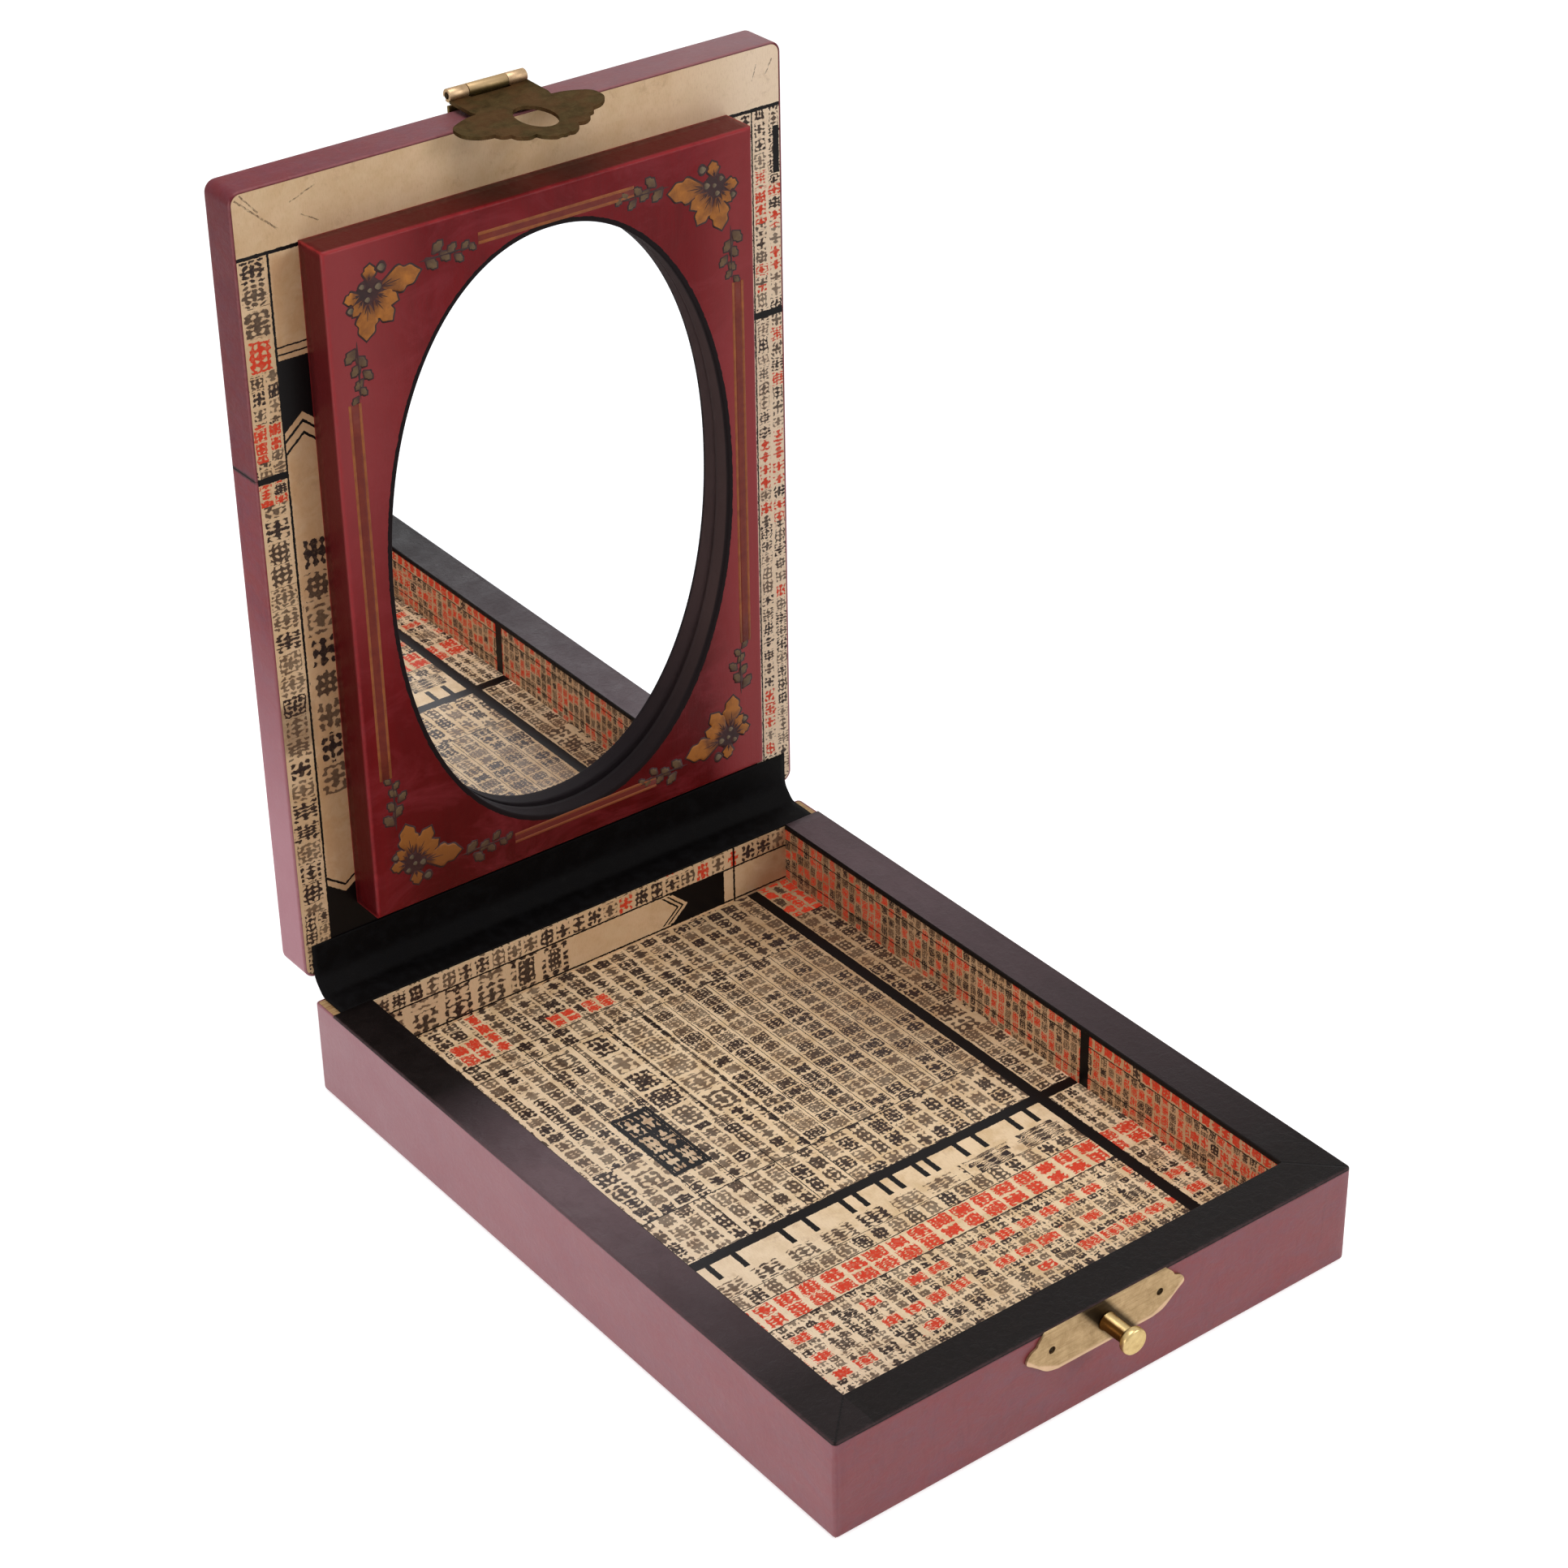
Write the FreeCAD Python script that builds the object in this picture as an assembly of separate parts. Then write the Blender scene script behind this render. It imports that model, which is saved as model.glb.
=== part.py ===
"""Makeup case with a hinged lid that carries an oval mirror, a brass hasp and a catch post.

Millimetres, +Z up, the latch side faces -Y and the hinge side +Y. The origin is the middle of the
underside. The case stands open, lid upright, as in the photo. Lid pieces are drawn flat first, with
x along the width, y up from the hinge edge and z out of the inner face, then stood up by on_lid().
"""
import FreeCAD
import Part
import math
import os

# Case
case_width = 150.0
case_depth = 205.0
base_height = 27.0
tray_depth = 17.0
lid_thickness = 11.5
side_border = 11.3
back_border = 8.5
covering = 0.6
paper = 0.3
rim_trim_thickness = 0.6
felt_thickness = 0.5
bottom_board_thickness = 4.6
base_corner_radius = 1.2
lid_corner_radius = 3.0
lid_edge_rounding = 1.5
closing_gap = 0.5
seam_gap = 0.1
covering_seam = 135.8

# Mirror
frame_side_margin = 16.2
frame_foot = 16.2
frame_top_margin = 14.8
frame_thickness = 10.0
frame_rounding = 0.9
oval_side_border = 10.4
oval_end_border = 9.4
oval_shift = 1.2
oval_drop = 0.4
mirror_recess = 5.3
glass_thickness = 2.0
rabbet_margin = 4.0

# Back hinges
axis_behind_case = 3.55
leaf_thickness = 0.8
barrel_radius = 2.0
hinge_pin_radius = 1.0
running_clearance = 0.05
hinge_width = 14.0
end_knuckle_width = 3.6
knuckle_gap = 0.1
hinge_inset = 27.0
base_leaf_length = 12.0
lid_leaf_margin = 1.0
stop_gap = 0.05

# Hinge cloth
cloth_thickness = 0.5
cloth_band = 9.0
cloth_inset = 2.4

# Hasp
hasp_reach = 3.2
hasp_lift = 0.7
hasp_barrel_radius = 1.6
hasp_pin_radius = 0.7
hasp_half_width = 10.6
hasp_knuckle_half = 5.25
hasp_plate_thickness = 0.9
hasp_slope = 2.0
hasp_lobe = 8.8
hasp_hole_radius = 5.2
hasp_hole_at = 19.7
hasp_leaf_thickness = 0.8
hasp_leaf_length = 18.0
tongue_length = 4.6
tongue_thickness = 0.8

# Catch
catch_thickness = 0.6
catch_half_length = 22.9
catch_height = 11.7
post_height = 21.4
post_radius = 2.1
post_head_radius = 3.3
post_head_thickness = 2.2
post_projection = 10.2
post_tail_radius = 1.5
post_tail_length = 6.0
catch_pin_at = 15.7
catch_pin_radius = 0.75
catch_pin_depth = 4.5

# Nails of the back hinges and the hasp leaf
nail_radius = 0.6
nail_head_radius = 1.3
nail_head_height = 0.35
nail_depth = 4.5

# Worked out from the above
half_width = case_width / 2
half_depth = case_depth / 2
wall_top = base_height - rim_trim_thickness
side_wall_wood = side_border - covering - paper
back_wall_wood = back_border - covering - paper
tray_side = half_width - side_border
tray_front = side_border - half_depth
tray_back = half_depth - back_border
floor_level = base_height - tray_depth
board_top = felt_thickness + bottom_board_thickness
inner_floor_top = floor_level - paper
axis_y = half_depth + axis_behind_case
axis_z = base_height + closing_gap
lid_foot_z = axis_z + axis_behind_case
board_half_width = half_width - covering
board_half_depth = half_depth - covering
frame_width = case_width - 2 * frame_side_margin
frame_height = case_depth - frame_foot - frame_top_margin
oval_half_width = frame_width / 2 - oval_side_border
oval_half_height = frame_height / 2 - oval_end_border
oval_centre = frame_foot + frame_height / 2 - oval_drop
hinge_offset = half_width - hinge_inset
glass_front = frame_thickness - mirror_recess
glass_back = glass_front - glass_thickness


def box(x0, x1, y0, y1, z0, z1):
    """Block between two corners."""
    return Part.makeBox(x1 - x0, y1 - y0, z1 - z0, FreeCAD.Vector(x0, y0, z0))


def rounded_block(x0, x1, y0, y1, z0, z1, radius):
    """Block whose four upright edges are rounded."""
    shape = box(x0, x1, y0, y1, z0, z1)
    upright = [e for e in shape.Edges if abs(e.tangentAt(e.FirstParameter).z) > 0.9]
    return shape.makeFillet(radius, upright)


def rod_x(x0, x1, y, z, radius):
    """Round rod along X."""
    return Part.makeCylinder(radius, x1 - x0, FreeCAD.Vector(x0, y, z), FreeCAD.Vector(1, 0, 0))


def rod_y(x, y0, y1, z, radius):
    """Round rod along Y."""
    return Part.makeCylinder(radius, y1 - y0, FreeCAD.Vector(x, y0, z), FreeCAD.Vector(0, 1, 0))


def rod_z(x, y, z0, z1, radius):
    """Round rod along Z."""
    return Part.makeCylinder(radius, z1 - z0, FreeCAD.Vector(x, y, z0), FreeCAD.Vector(0, 0, 1))


def plate(points, z0, z1):
    """Flat plate with the outline points in X and Y, from z0 to z1."""
    wire = Part.makePolygon([FreeCAD.Vector(x, y, z0) for x, y in points + points[:1]])
    return Part.Face(wire).extrude(FreeCAD.Vector(0, 0, z1 - z0))


def upright_profile(points, x0, x1):
    """Profile drawn in Y and Z, extruded along X."""
    wire = Part.makePolygon([FreeCAD.Vector(x0, y, z) for y, z in points + points[:1]])
    return Part.Face(wire).extrude(FreeCAD.Vector(x1 - x0, 0, 0))


def oval_plate(half_x, half_y, z0, z1):
    """Oval plate in the place of the mirror, drawn flat."""
    centre = FreeCAD.Vector(oval_shift, oval_centre, z0)
    curve = Part.Ellipse(centre + FreeCAD.Vector(0, half_y, 0), centre + FreeCAD.Vector(half_x, 0, 0), centre)
    return Part.Face(Part.Wire(curve.toShape())).extrude(FreeCAD.Vector(0, 0, z1 - z0))


def mirrored(points):
    """Closed outline from its right half, listed from the first point to the last."""
    return points + [(-x, y) for x, y in reversed(points) if x > 0]


def on_lid(shape):
    """Stands a piece drawn flat up against the open lid's place."""
    shape = shape.copy()
    turn = FreeCAD.Rotation(FreeCAD.Vector(1, 0, 0), 90)
    shape.Placement = FreeCAD.Placement(FreeCAD.Vector(0, axis_y, lid_foot_z), turn).multiply(shape.Placement)
    return shape


def on_hasp(shape):
    """Moves a piece drawn flat, y away from the hasp barrel and z up, to its place at rest."""
    shape = shape.copy()
    half_turn = FreeCAD.Rotation(FreeCAD.Vector(0, 0, 1), 180)
    slope = FreeCAD.Rotation(FreeCAD.Vector(1, 0, 0), hasp_slope)
    barrel = FreeCAD.Vector(0, axis_y + lid_thickness + hasp_lift, lid_foot_z + case_depth + hasp_reach)
    shape.Placement = FreeCAD.Placement(barrel, slope.multiply(half_turn)).multiply(shape.Placement)
    return shape


# Holes and fixings shared by several pieces


def post_tail(radius):
    """Tail of the catch post, from the front of the catch plate into the front wall."""
    return rod_y(0, -half_depth - catch_thickness, -half_depth + post_tail_length, post_height, radius)


def catch_pin_rods():
    """Two pins that hold the catch plate."""
    front = -half_depth - catch_thickness
    back = -half_depth + catch_pin_depth
    return [rod_y(x, front, back, post_height, catch_pin_radius) for x in (-catch_pin_at, catch_pin_at)]


def hinge_nail_places(side):
    """Where the two nails of a back hinge stand along X."""
    return [side * hinge_offset - hinge_width * 0.3, side * hinge_offset + hinge_width * 0.3]


def base_nail(x):
    """Nail of a base leaf, shank and head."""
    leaf_face = half_depth + leaf_thickness
    z = axis_z - base_leaf_length * 0.62
    shank = rod_y(x, half_depth - nail_depth, leaf_face, z, nail_radius)
    head = rod_y(x, leaf_face, leaf_face + nail_head_height, z, nail_head_radius)
    return shank.fuse(head).removeSplitter()


def lid_nail(x):
    """Nail of a lid leaf, drawn flat: it goes into the lid's hinge edge."""
    z = -lid_thickness * 0.55
    shank = rod_y(x, -leaf_thickness, nail_depth, z, nail_radius)
    head = rod_y(x, -leaf_thickness - nail_head_height, -leaf_thickness, z, nail_head_radius)
    return shank.fuse(head).removeSplitter()


def hasp_nail(x, y):
    """Nail of the hasp leaf, drawn flat: it goes into the lid's outer face."""
    face = -lid_thickness - hasp_leaf_thickness
    shank = rod_z(x, y, face, -lid_thickness + nail_depth, nail_radius)
    head = rod_z(x, y, face - nail_head_height, face, nail_head_radius)
    return shank.fuse(head).removeSplitter()


def base_nails():
    return [base_nail(x) for side in (-1, 1) for x in hinge_nail_places(side)]


def lid_nails():
    return [lid_nail(x) for side in (-1, 1) for x in hinge_nail_places(side)]


def hasp_nails():
    near = case_depth - hasp_leaf_length * 0.2
    far = case_depth - hasp_leaf_length * 0.72
    places = [(hasp_half_width * 0.7, near), (-hasp_half_width * 0.7, near), (0, far)]
    return [hasp_nail(x, y) for x, y in places]


def without(shape, tools):
    """Cuts every tool out of shape."""
    for tool in tools:
        shape = shape.cut(tool)
    return shape


# Base


def make_underside_felt():
    inset = covering + 1.0
    return box(inset - half_width, half_width - inset, inset - half_depth, half_depth - inset, 0, felt_thickness)


def make_bottom_board():
    x = board_half_width
    y = board_half_depth
    return box(-x, x, -y, y, felt_thickness, board_top)


def make_inner_floor():
    x = tray_side + paper
    return box(-x, x, tray_front - paper, tray_back + paper, board_top, inner_floor_top)


def make_front_wall():
    x = board_half_width
    wall = box(-x, x, -board_half_depth, tray_front - paper, board_top, wall_top)
    return without(wall, [post_tail(post_tail_radius)] + catch_pin_rods())


def make_back_wall():
    x = board_half_width
    wall = box(-x, x, tray_back + paper, board_half_depth, board_top, wall_top)
    return without(wall, base_nails())


def make_side_wall(side):
    inner = side * (tray_side + paper)
    outer = side * board_half_width
    return box(min(inner, outer), max(inner, outer), tray_front - paper, tray_back + paper, board_top, wall_top)


def make_base_wrap():
    foot = felt_thickness * 0.6
    outer = rounded_block(-half_width, half_width, -half_depth, half_depth, foot, wall_top, base_corner_radius)
    x = board_half_width
    y = board_half_depth
    wrap = outer.cut(box(-x, x, -y, y, 0, base_height))
    return without(wrap, [post_tail(post_tail_radius)] + catch_pin_rods() + base_nails())


def make_rim_trim():
    rim = rounded_block(-half_width, half_width, -half_depth, half_depth, wall_top, base_height, base_corner_radius)
    inside = box(-tray_side, tray_side, tray_front, half_depth + 1, 0, base_height + 1)
    behind = box(-case_width, case_width, tray_back, half_depth + 1, 0, base_height + 1)
    return rim.cut(inside).cut(behind)


def make_floor_lining():
    return box(-tray_side, tray_side, tray_front, tray_back, inner_floor_top, floor_level)


def make_side_lining(side):
    inner = side * tray_side
    outer = side * (tray_side + paper)
    return box(min(inner, outer), max(inner, outer), tray_front, tray_back, inner_floor_top, wall_top)


def make_front_lining():
    x = tray_side + paper
    return box(-x, x, tray_front - paper, tray_front, inner_floor_top, wall_top)


def make_back_lining():
    x = tray_side + paper
    return box(-x, x, tray_back, tray_back + paper, inner_floor_top, wall_top)


def make_hinge_cloth():
    """Cloth over the back rim, across the hinge gap and up the foot of the lid."""
    t = cloth_thickness
    top = wall_top + t
    foot = lid_foot_z
    profile = [
        (tray_back + seam_gap, wall_top),
        (half_depth, wall_top),
        (axis_y, foot - seam_gap),
        (axis_y, foot + cloth_band),
        (axis_y - t, foot + cloth_band),
        (axis_y - t, foot + t / 2),
        (half_depth - t * 1.1, top),
        (tray_back + seam_gap, top),
    ]
    x = half_width - cloth_inset
    return upright_profile(profile, -x, x)


# Back hinges


def hinge_spans(side):
    """Middle and the X ranges of the left, middle and right knuckle."""
    left = side * hinge_offset - hinge_width / 2
    right = side * hinge_offset + hinge_width / 2
    a = left + end_knuckle_width
    b = right - end_knuckle_width
    return [(left, a), (a + knuckle_gap, b - knuckle_gap), (b, right)]


def make_hinge_base_leaf(side):
    spans = hinge_spans(side)
    left = spans[0][0]
    right = spans[2][1]
    arm_top = axis_z - barrel_radius + leaf_thickness
    bottom = axis_z - base_leaf_length
    leaf = box(left, right, half_depth, half_depth + leaf_thickness, bottom, arm_top)
    for x0, x1 in (spans[0], spans[2]):
        leaf = leaf.fuse(box(x0, x1, half_depth, axis_y, axis_z - barrel_radius, arm_top))
        leaf = leaf.fuse(rod_x(x0, x1, axis_y, axis_z, barrel_radius))
    leaf = without(leaf, [rod_x(left - 1, right + 1, axis_y, axis_z, hinge_pin_radius)])
    return without(leaf, [base_nail(x) for x in hinge_nail_places(side)]).removeSplitter()


def make_hinge_lid_leaf(side):
    """Drawn flat: the leaf lies under the lid's hinge edge and its knuckle carries the stop nib."""
    spans = hinge_spans(side)
    left = spans[0][0]
    right = spans[2][1]
    x0, x1 = spans[1]
    axis = -axis_behind_case
    arm = leaf_thickness - barrel_radius
    leaf = box(left, right, -leaf_thickness, 0, lid_leaf_margin - lid_thickness, arm)
    leaf = leaf.fuse(box(x0, x1, axis, 0, -barrel_radius, arm))
    leaf = leaf.fuse(rod_x(x0, x1, axis, 0, barrel_radius))
    reach = axis_behind_case - leaf_thickness - stop_gap
    nib = axis - barrel_radius * 0.95
    leaf = leaf.fuse(box(x0, x1, nib, nib + leaf_thickness, 0, reach))
    bore = hinge_pin_radius + running_clearance
    leaf = without(leaf, [rod_x(left - 1, right + 1, axis, 0, bore)])
    leaf = without(leaf, [lid_nail(x) for x in hinge_nail_places(side)]).removeSplitter()
    return on_lid(leaf)


def make_hinge_pin(side):
    spans = hinge_spans(side)
    return rod_x(spans[0][0] - 0.3, spans[2][1] + 0.3, axis_y, axis_z, hinge_pin_radius)


# Catch


def catch_outline():
    low = base_height - catch_height
    e = catch_half_length
    h = catch_height
    half = [
        (e * 0.76, low),
        (e * 0.86, low + h * 0.22),
        (e * 0.92, low + h * 0.33),
        (e, low + h * 0.48),
        (e * 0.97, low + h * 0.66),
        (e * 0.87, low + h * 0.77),
        (e * 0.85, low + h * 0.84),
        (e * 0.77, base_height),
    ]
    return mirrored(half)


def make_catch_plate():
    flat = plate(catch_outline(), 0, catch_thickness)
    flat.rotate(FreeCAD.Vector(0, 0, 0), FreeCAD.Vector(1, 0, 0), 90)
    flat.translate(FreeCAD.Vector(0, -half_depth, 0))
    return without(flat, [post_tail(post_tail_radius)] + catch_pin_rods())


def make_catch_post():
    """Tail in the wall, shaft, neck and head, turned in one piece."""
    face = -half_depth - catch_thickness
    tip = -half_depth - post_projection
    head = tip + post_head_thickness
    profile = [
        (0, -half_depth + post_tail_length),
        (post_tail_radius, -half_depth + post_tail_length),
        (post_tail_radius, face),
        (post_radius, face),
        (post_radius, head + 0.8),
        (post_radius * 0.8, head),
        (post_head_radius, head),
        (post_head_radius, tip + 0.5),
        (post_head_radius - 0.5, tip),
        (0, tip),
    ]
    wire = Part.makePolygon([FreeCAD.Vector(r, y, 0) for r, y in profile + profile[:1]])
    post = Part.Face(wire).revolve(FreeCAD.Vector(0, 0, 0), FreeCAD.Vector(0, 1, 0), 360)
    post.translate(FreeCAD.Vector(0, 0, post_height))
    return post


# Lid


def make_lid_board():
    x = board_half_width
    low = covering - lid_thickness
    radius = lid_corner_radius - covering
    board = rounded_block(-x, x, covering, case_depth - covering, low, -paper, radius)
    return on_lid(without(board, lid_nails() + hasp_nails()))


def lid_wrap_whole():
    """Covering over the outer face and the four edges, drawn flat."""
    outer = rounded_block(-half_width, half_width, 0, case_depth, -lid_thickness, 0, lid_corner_radius)
    rim = [e for e in outer.Edges if abs(e.BoundBox.ZMax + lid_thickness) < 0.01]
    outer = outer.makeFillet(lid_edge_rounding, rim)
    x = board_half_width
    radius = lid_corner_radius - covering
    inner = rounded_block(-x, x, covering, case_depth - covering, covering - lid_thickness, 1, radius)
    return without(outer.cut(inner), lid_nails() + hasp_nails())


def make_lid_wrap_lower():
    keep = box(-case_width, case_width, -1, covering_seam - seam_gap / 2, -lid_thickness - 1, 1)
    return on_lid(lid_wrap_whole().common(keep))


def make_lid_wrap_upper():
    keep = box(-case_width, case_width, covering_seam + seam_gap / 2, case_depth + 1, -lid_thickness - 1, 1)
    return on_lid(lid_wrap_whole().common(keep))


def make_lid_lining():
    x = board_half_width
    radius = lid_corner_radius - covering
    return on_lid(rounded_block(-x, x, covering, case_depth - covering, -paper, 0, radius))


def make_mirror_frame():
    x = frame_width / 2
    frame = box(-x, x, frame_foot, frame_foot + frame_height, 0, frame_thickness)
    front = [e for e in frame.Edges if abs(e.BoundBox.ZMin - frame_thickness) < 0.01]
    frame = frame.makeFillet(frame_rounding, front)
    frame = frame.cut(oval_plate(oval_half_width, oval_half_height, -1, frame_thickness + 1))
    rabbet_x = oval_half_width + rabbet_margin
    rabbet_y = oval_half_height + rabbet_margin
    return on_lid(frame.cut(oval_plate(rabbet_x, rabbet_y, -1, glass_front)))


def make_mirror_glass():
    x = oval_half_width + rabbet_margin
    y = oval_half_height + rabbet_margin
    return on_lid(oval_plate(x, y, glass_back, glass_front))


def make_mirror_backing():
    x = oval_half_width + rabbet_margin
    y = oval_half_height + rabbet_margin
    return on_lid(oval_plate(x, y, 0, glass_back))


# Hasp


def make_hasp_leaf():
    """Fixed leaf on the lid's outer face, its knuckle and the tongue the hasp rests on."""
    top = case_depth + hasp_reach - hasp_barrel_radius - 0.8
    bottom = case_depth - hasp_leaf_length
    x = hasp_half_width
    half = [
        (0, bottom),
        (x * 0.35, bottom + hasp_leaf_length * 0.1),
        (x * 0.6, bottom + hasp_leaf_length * 0.12),
        (x, bottom + hasp_leaf_length * 0.3),
        (x, top),
    ]
    low = -lid_thickness - hasp_leaf_thickness
    leaf = plate(mirrored(half), low, -lid_thickness)
    axis_up = case_depth + hasp_reach
    axis_out = -lid_thickness - hasp_lift
    k = hasp_knuckle_half
    leaf = leaf.fuse(box(-k, k, top - 0.5, axis_up, low, -lid_thickness))
    leaf = leaf.fuse(rod_x(-k, k, axis_up, axis_out, hasp_barrel_radius))
    rest = hasp_barrel_radius + stop_gap
    half = k * 0.75
    t = tongue_thickness
    tongue = box(-half, half, -t, tongue_length, -rest - t, -rest)
    tongue = tongue.fuse(box(-half, half, -t, t, -rest - t, -hasp_barrel_radius * 0.8))
    leaf = on_lid(leaf).fuse(on_hasp(tongue))
    bore = on_hasp(rod_x(-k - 1, k + 1, 0, 0, hasp_pin_radius))
    return without(leaf, [bore] + [on_lid(n) for n in hasp_nails()]).removeSplitter()


def make_hasp_pin():
    reach = hasp_half_width + 0.2
    return on_hasp(rod_x(-reach, reach, 0, 0, hasp_pin_radius))


def hasp_outline():
    """Half outline of the ornamental plate, from the barrel to the tip."""
    at = hasp_hole_at
    w = hasp_half_width
    lobe = hasp_lobe
    half = [
        (w, 0),
        (w, at * 0.49),
        (w * 0.96, at * 0.58),
        (w + lobe * 0.39, at * 0.62),
        (w + lobe * 0.89, at * 0.74),
        (w + lobe, at * 0.89),
        (w + lobe * 0.93, at * 1.03),
        (w + lobe * 0.61, at * 1.15),
        (w * 1.04, at * 1.28),
        (w * 0.94, at * 1.40),
        (w * 0.66, at * 1.45),
        (w * 0.42, at * 1.47),
        (w * 0.30, at * 1.59),
        (0, at * 1.64),
    ]
    return mirrored(half)


def make_hasp_plate():
    r = hasp_barrel_radius
    k = hasp_knuckle_half + knuckle_gap
    flat = plate(hasp_outline(), -r, hasp_plate_thickness - r)
    flat = flat.cut(box(-k - knuckle_gap, k + knuckle_gap, -r - 1, r + 0.6, -r - 1, r + 1))
    flat = flat.cut(rod_z(0, hasp_hole_at, -r - 1, r + 1, hasp_hole_radius))
    for x0, x1 in ((-hasp_half_width, -k), (k, hasp_half_width)):
        flat = flat.fuse(rod_x(x0, x1, 0, 0, r))
    bore = rod_x(-hasp_half_width - 1, hasp_half_width + 1, 0, 0, hasp_pin_radius + running_clearance)
    return on_hasp(flat.cut(bore).removeSplitter())


PIECES = {
    "underside_felt": make_underside_felt,
    "bottom_board": make_bottom_board,
    "inner_floor": make_inner_floor,
    "front_wall": make_front_wall,
    "back_wall": make_back_wall,
    "left_wall": lambda: make_side_wall(-1),
    "right_wall": lambda: make_side_wall(1),
    "base_wrap": make_base_wrap,
    "rim_trim": make_rim_trim,
    "floor_lining": make_floor_lining,
    "front_lining": make_front_lining,
    "back_lining": make_back_lining,
    "left_lining": lambda: make_side_lining(-1),
    "right_lining": lambda: make_side_lining(1),
    "hinge_cloth": make_hinge_cloth,
    "hinge_base_leaf_left": lambda: make_hinge_base_leaf(-1),
    "hinge_base_leaf_right": lambda: make_hinge_base_leaf(1),
    "hinge_pin_left": lambda: make_hinge_pin(-1),
    "hinge_pin_right": lambda: make_hinge_pin(1),
    "base_hinge_nails": lambda: Part.makeCompound(base_nails()),
    "catch_plate": make_catch_plate,
    "catch_post": make_catch_post,
    "catch_pins": lambda: Part.makeCompound(catch_pin_rods()),
    "lid_board": make_lid_board,
    "lid_wrap_lower": make_lid_wrap_lower,
    "lid_wrap_upper": make_lid_wrap_upper,
    "lid_lining": make_lid_lining,
    "mirror_frame": make_mirror_frame,
    "mirror_glass": make_mirror_glass,
    "mirror_backing": make_mirror_backing,
    "hinge_lid_leaf_left": lambda: make_hinge_lid_leaf(-1),
    "hinge_lid_leaf_right": lambda: make_hinge_lid_leaf(1),
    "lid_hinge_nails": lambda: on_lid(Part.makeCompound(lid_nails())),
    "hasp_leaf": make_hasp_leaf,
    "hasp_nails": lambda: on_lid(Part.makeCompound(hasp_nails())),
    "hasp_pin": make_hasp_pin,
    "hasp_plate": make_hasp_plate,
}

os.makedirs("parts", exist_ok=True)
for name, make in PIECES.items():
    shape = make()
    if not shape.isValid() or shape.Volume <= 0:
        raise ValueError("piece is not a sound solid: " + name)
    shape.exportStep("parts/" + name + ".step")
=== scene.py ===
"""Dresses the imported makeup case: coverings, printed papers, lacquered mirror frame and brass fittings.

Sizes are in millimetres and are turned to metres when a mesh is made. Row frame: X across the case,
Y from the latch to the hinge side, Z up. Lid pieces are worked out in (x, up, out), with up measured
from the lid's foot and out from its inner face.
"""
import math
from contextlib import contextmanager

import bmesh
import bpy
import numpy as np
from bpy.props import FloatProperty, FloatVectorProperty, PointerProperty
from mathutils import Matrix


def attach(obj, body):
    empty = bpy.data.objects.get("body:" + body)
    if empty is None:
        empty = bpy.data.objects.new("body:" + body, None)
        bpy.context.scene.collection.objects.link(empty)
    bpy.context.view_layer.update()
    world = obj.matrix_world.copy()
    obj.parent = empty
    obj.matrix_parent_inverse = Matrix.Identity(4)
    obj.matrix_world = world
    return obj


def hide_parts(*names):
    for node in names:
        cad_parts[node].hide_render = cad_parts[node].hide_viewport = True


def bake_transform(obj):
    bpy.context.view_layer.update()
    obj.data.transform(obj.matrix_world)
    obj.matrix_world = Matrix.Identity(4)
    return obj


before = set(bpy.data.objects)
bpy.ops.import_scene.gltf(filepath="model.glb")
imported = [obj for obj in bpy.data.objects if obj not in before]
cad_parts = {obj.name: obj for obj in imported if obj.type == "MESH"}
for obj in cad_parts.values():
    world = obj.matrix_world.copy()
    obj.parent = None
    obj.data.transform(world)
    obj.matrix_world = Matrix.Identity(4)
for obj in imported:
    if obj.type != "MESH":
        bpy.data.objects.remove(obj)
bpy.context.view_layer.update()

bl_info = {
    "name": "Makeup Case",
    "version": (1, 0, 0),
    "blender": (4, 5, 0),
    "location": "3D View > Sidebar > Makeup Case",
    "description": "Builds the finished pieces and materials of a makeup case with a mirror in its lid",
    "category": "Add Mesh",
}

MM = 0.001

# Sizes of the case, as in the part's source
HALF_WIDTH = 75.0
HALF_DEPTH = 102.5
BASE_HEIGHT = 27.0
WALL_TOP = 26.4
TRAY_SIDE = 63.7
TRAY_FRONT = -91.2
TRAY_BACK = 94.0
COVERING = 0.6
LID_PLANE = 106.05
LID_FOOT = 31.05
LID_THICKNESS = 11.5
LID_HEIGHT = 205.0
COVERING_SEAM = 135.8
FRAME_HALF_WIDTH = 58.8
FRAME_HALF_HEIGHT = 87.0
FRAME_MIDDLE = 103.2
FRAME_THICKNESS = 10.0
GLASS_FRONT = 4.7
OVAL_X = 1.2
OVAL_UP = 102.8
OVAL_HALF_WIDTH = 48.4
OVAL_HALF_HEIGHT = 77.6
CATCH_HEIGHT = 21.4
CATCH_PIN_X = 15.7
HASP_AXIS = (118.25, 239.25)

# The camera fitted to the photograph: place in mm, heading, tilt and roll in degrees, and lens in pixels
CAMERA_PLACE = (-424.18, -550.04, 536.16)
CAMERA_ANGLES = (-37.138, 31.576, -0.924)
FOCAL_PIXELS = 4480.8
PICTURE_PIXELS = 1932
SENSOR_WIDTH = 36.0

# Lamps in metres and watts: name, place, target, diameter, power
LAMPS = (
    ("key", (0.74, -0.98, 0.78), (0.0, 0.0, 0.05), 0.6, 5.0),
    ("fill", (-0.9, 0.0, 0.2), (0.0, 0.0, 0.0), 0.3, 1.85),
    ("top", (-0.1, 0.0, 1.3), (0.0, 0.0, 0.0), 0.8, 7.0),
)

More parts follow.
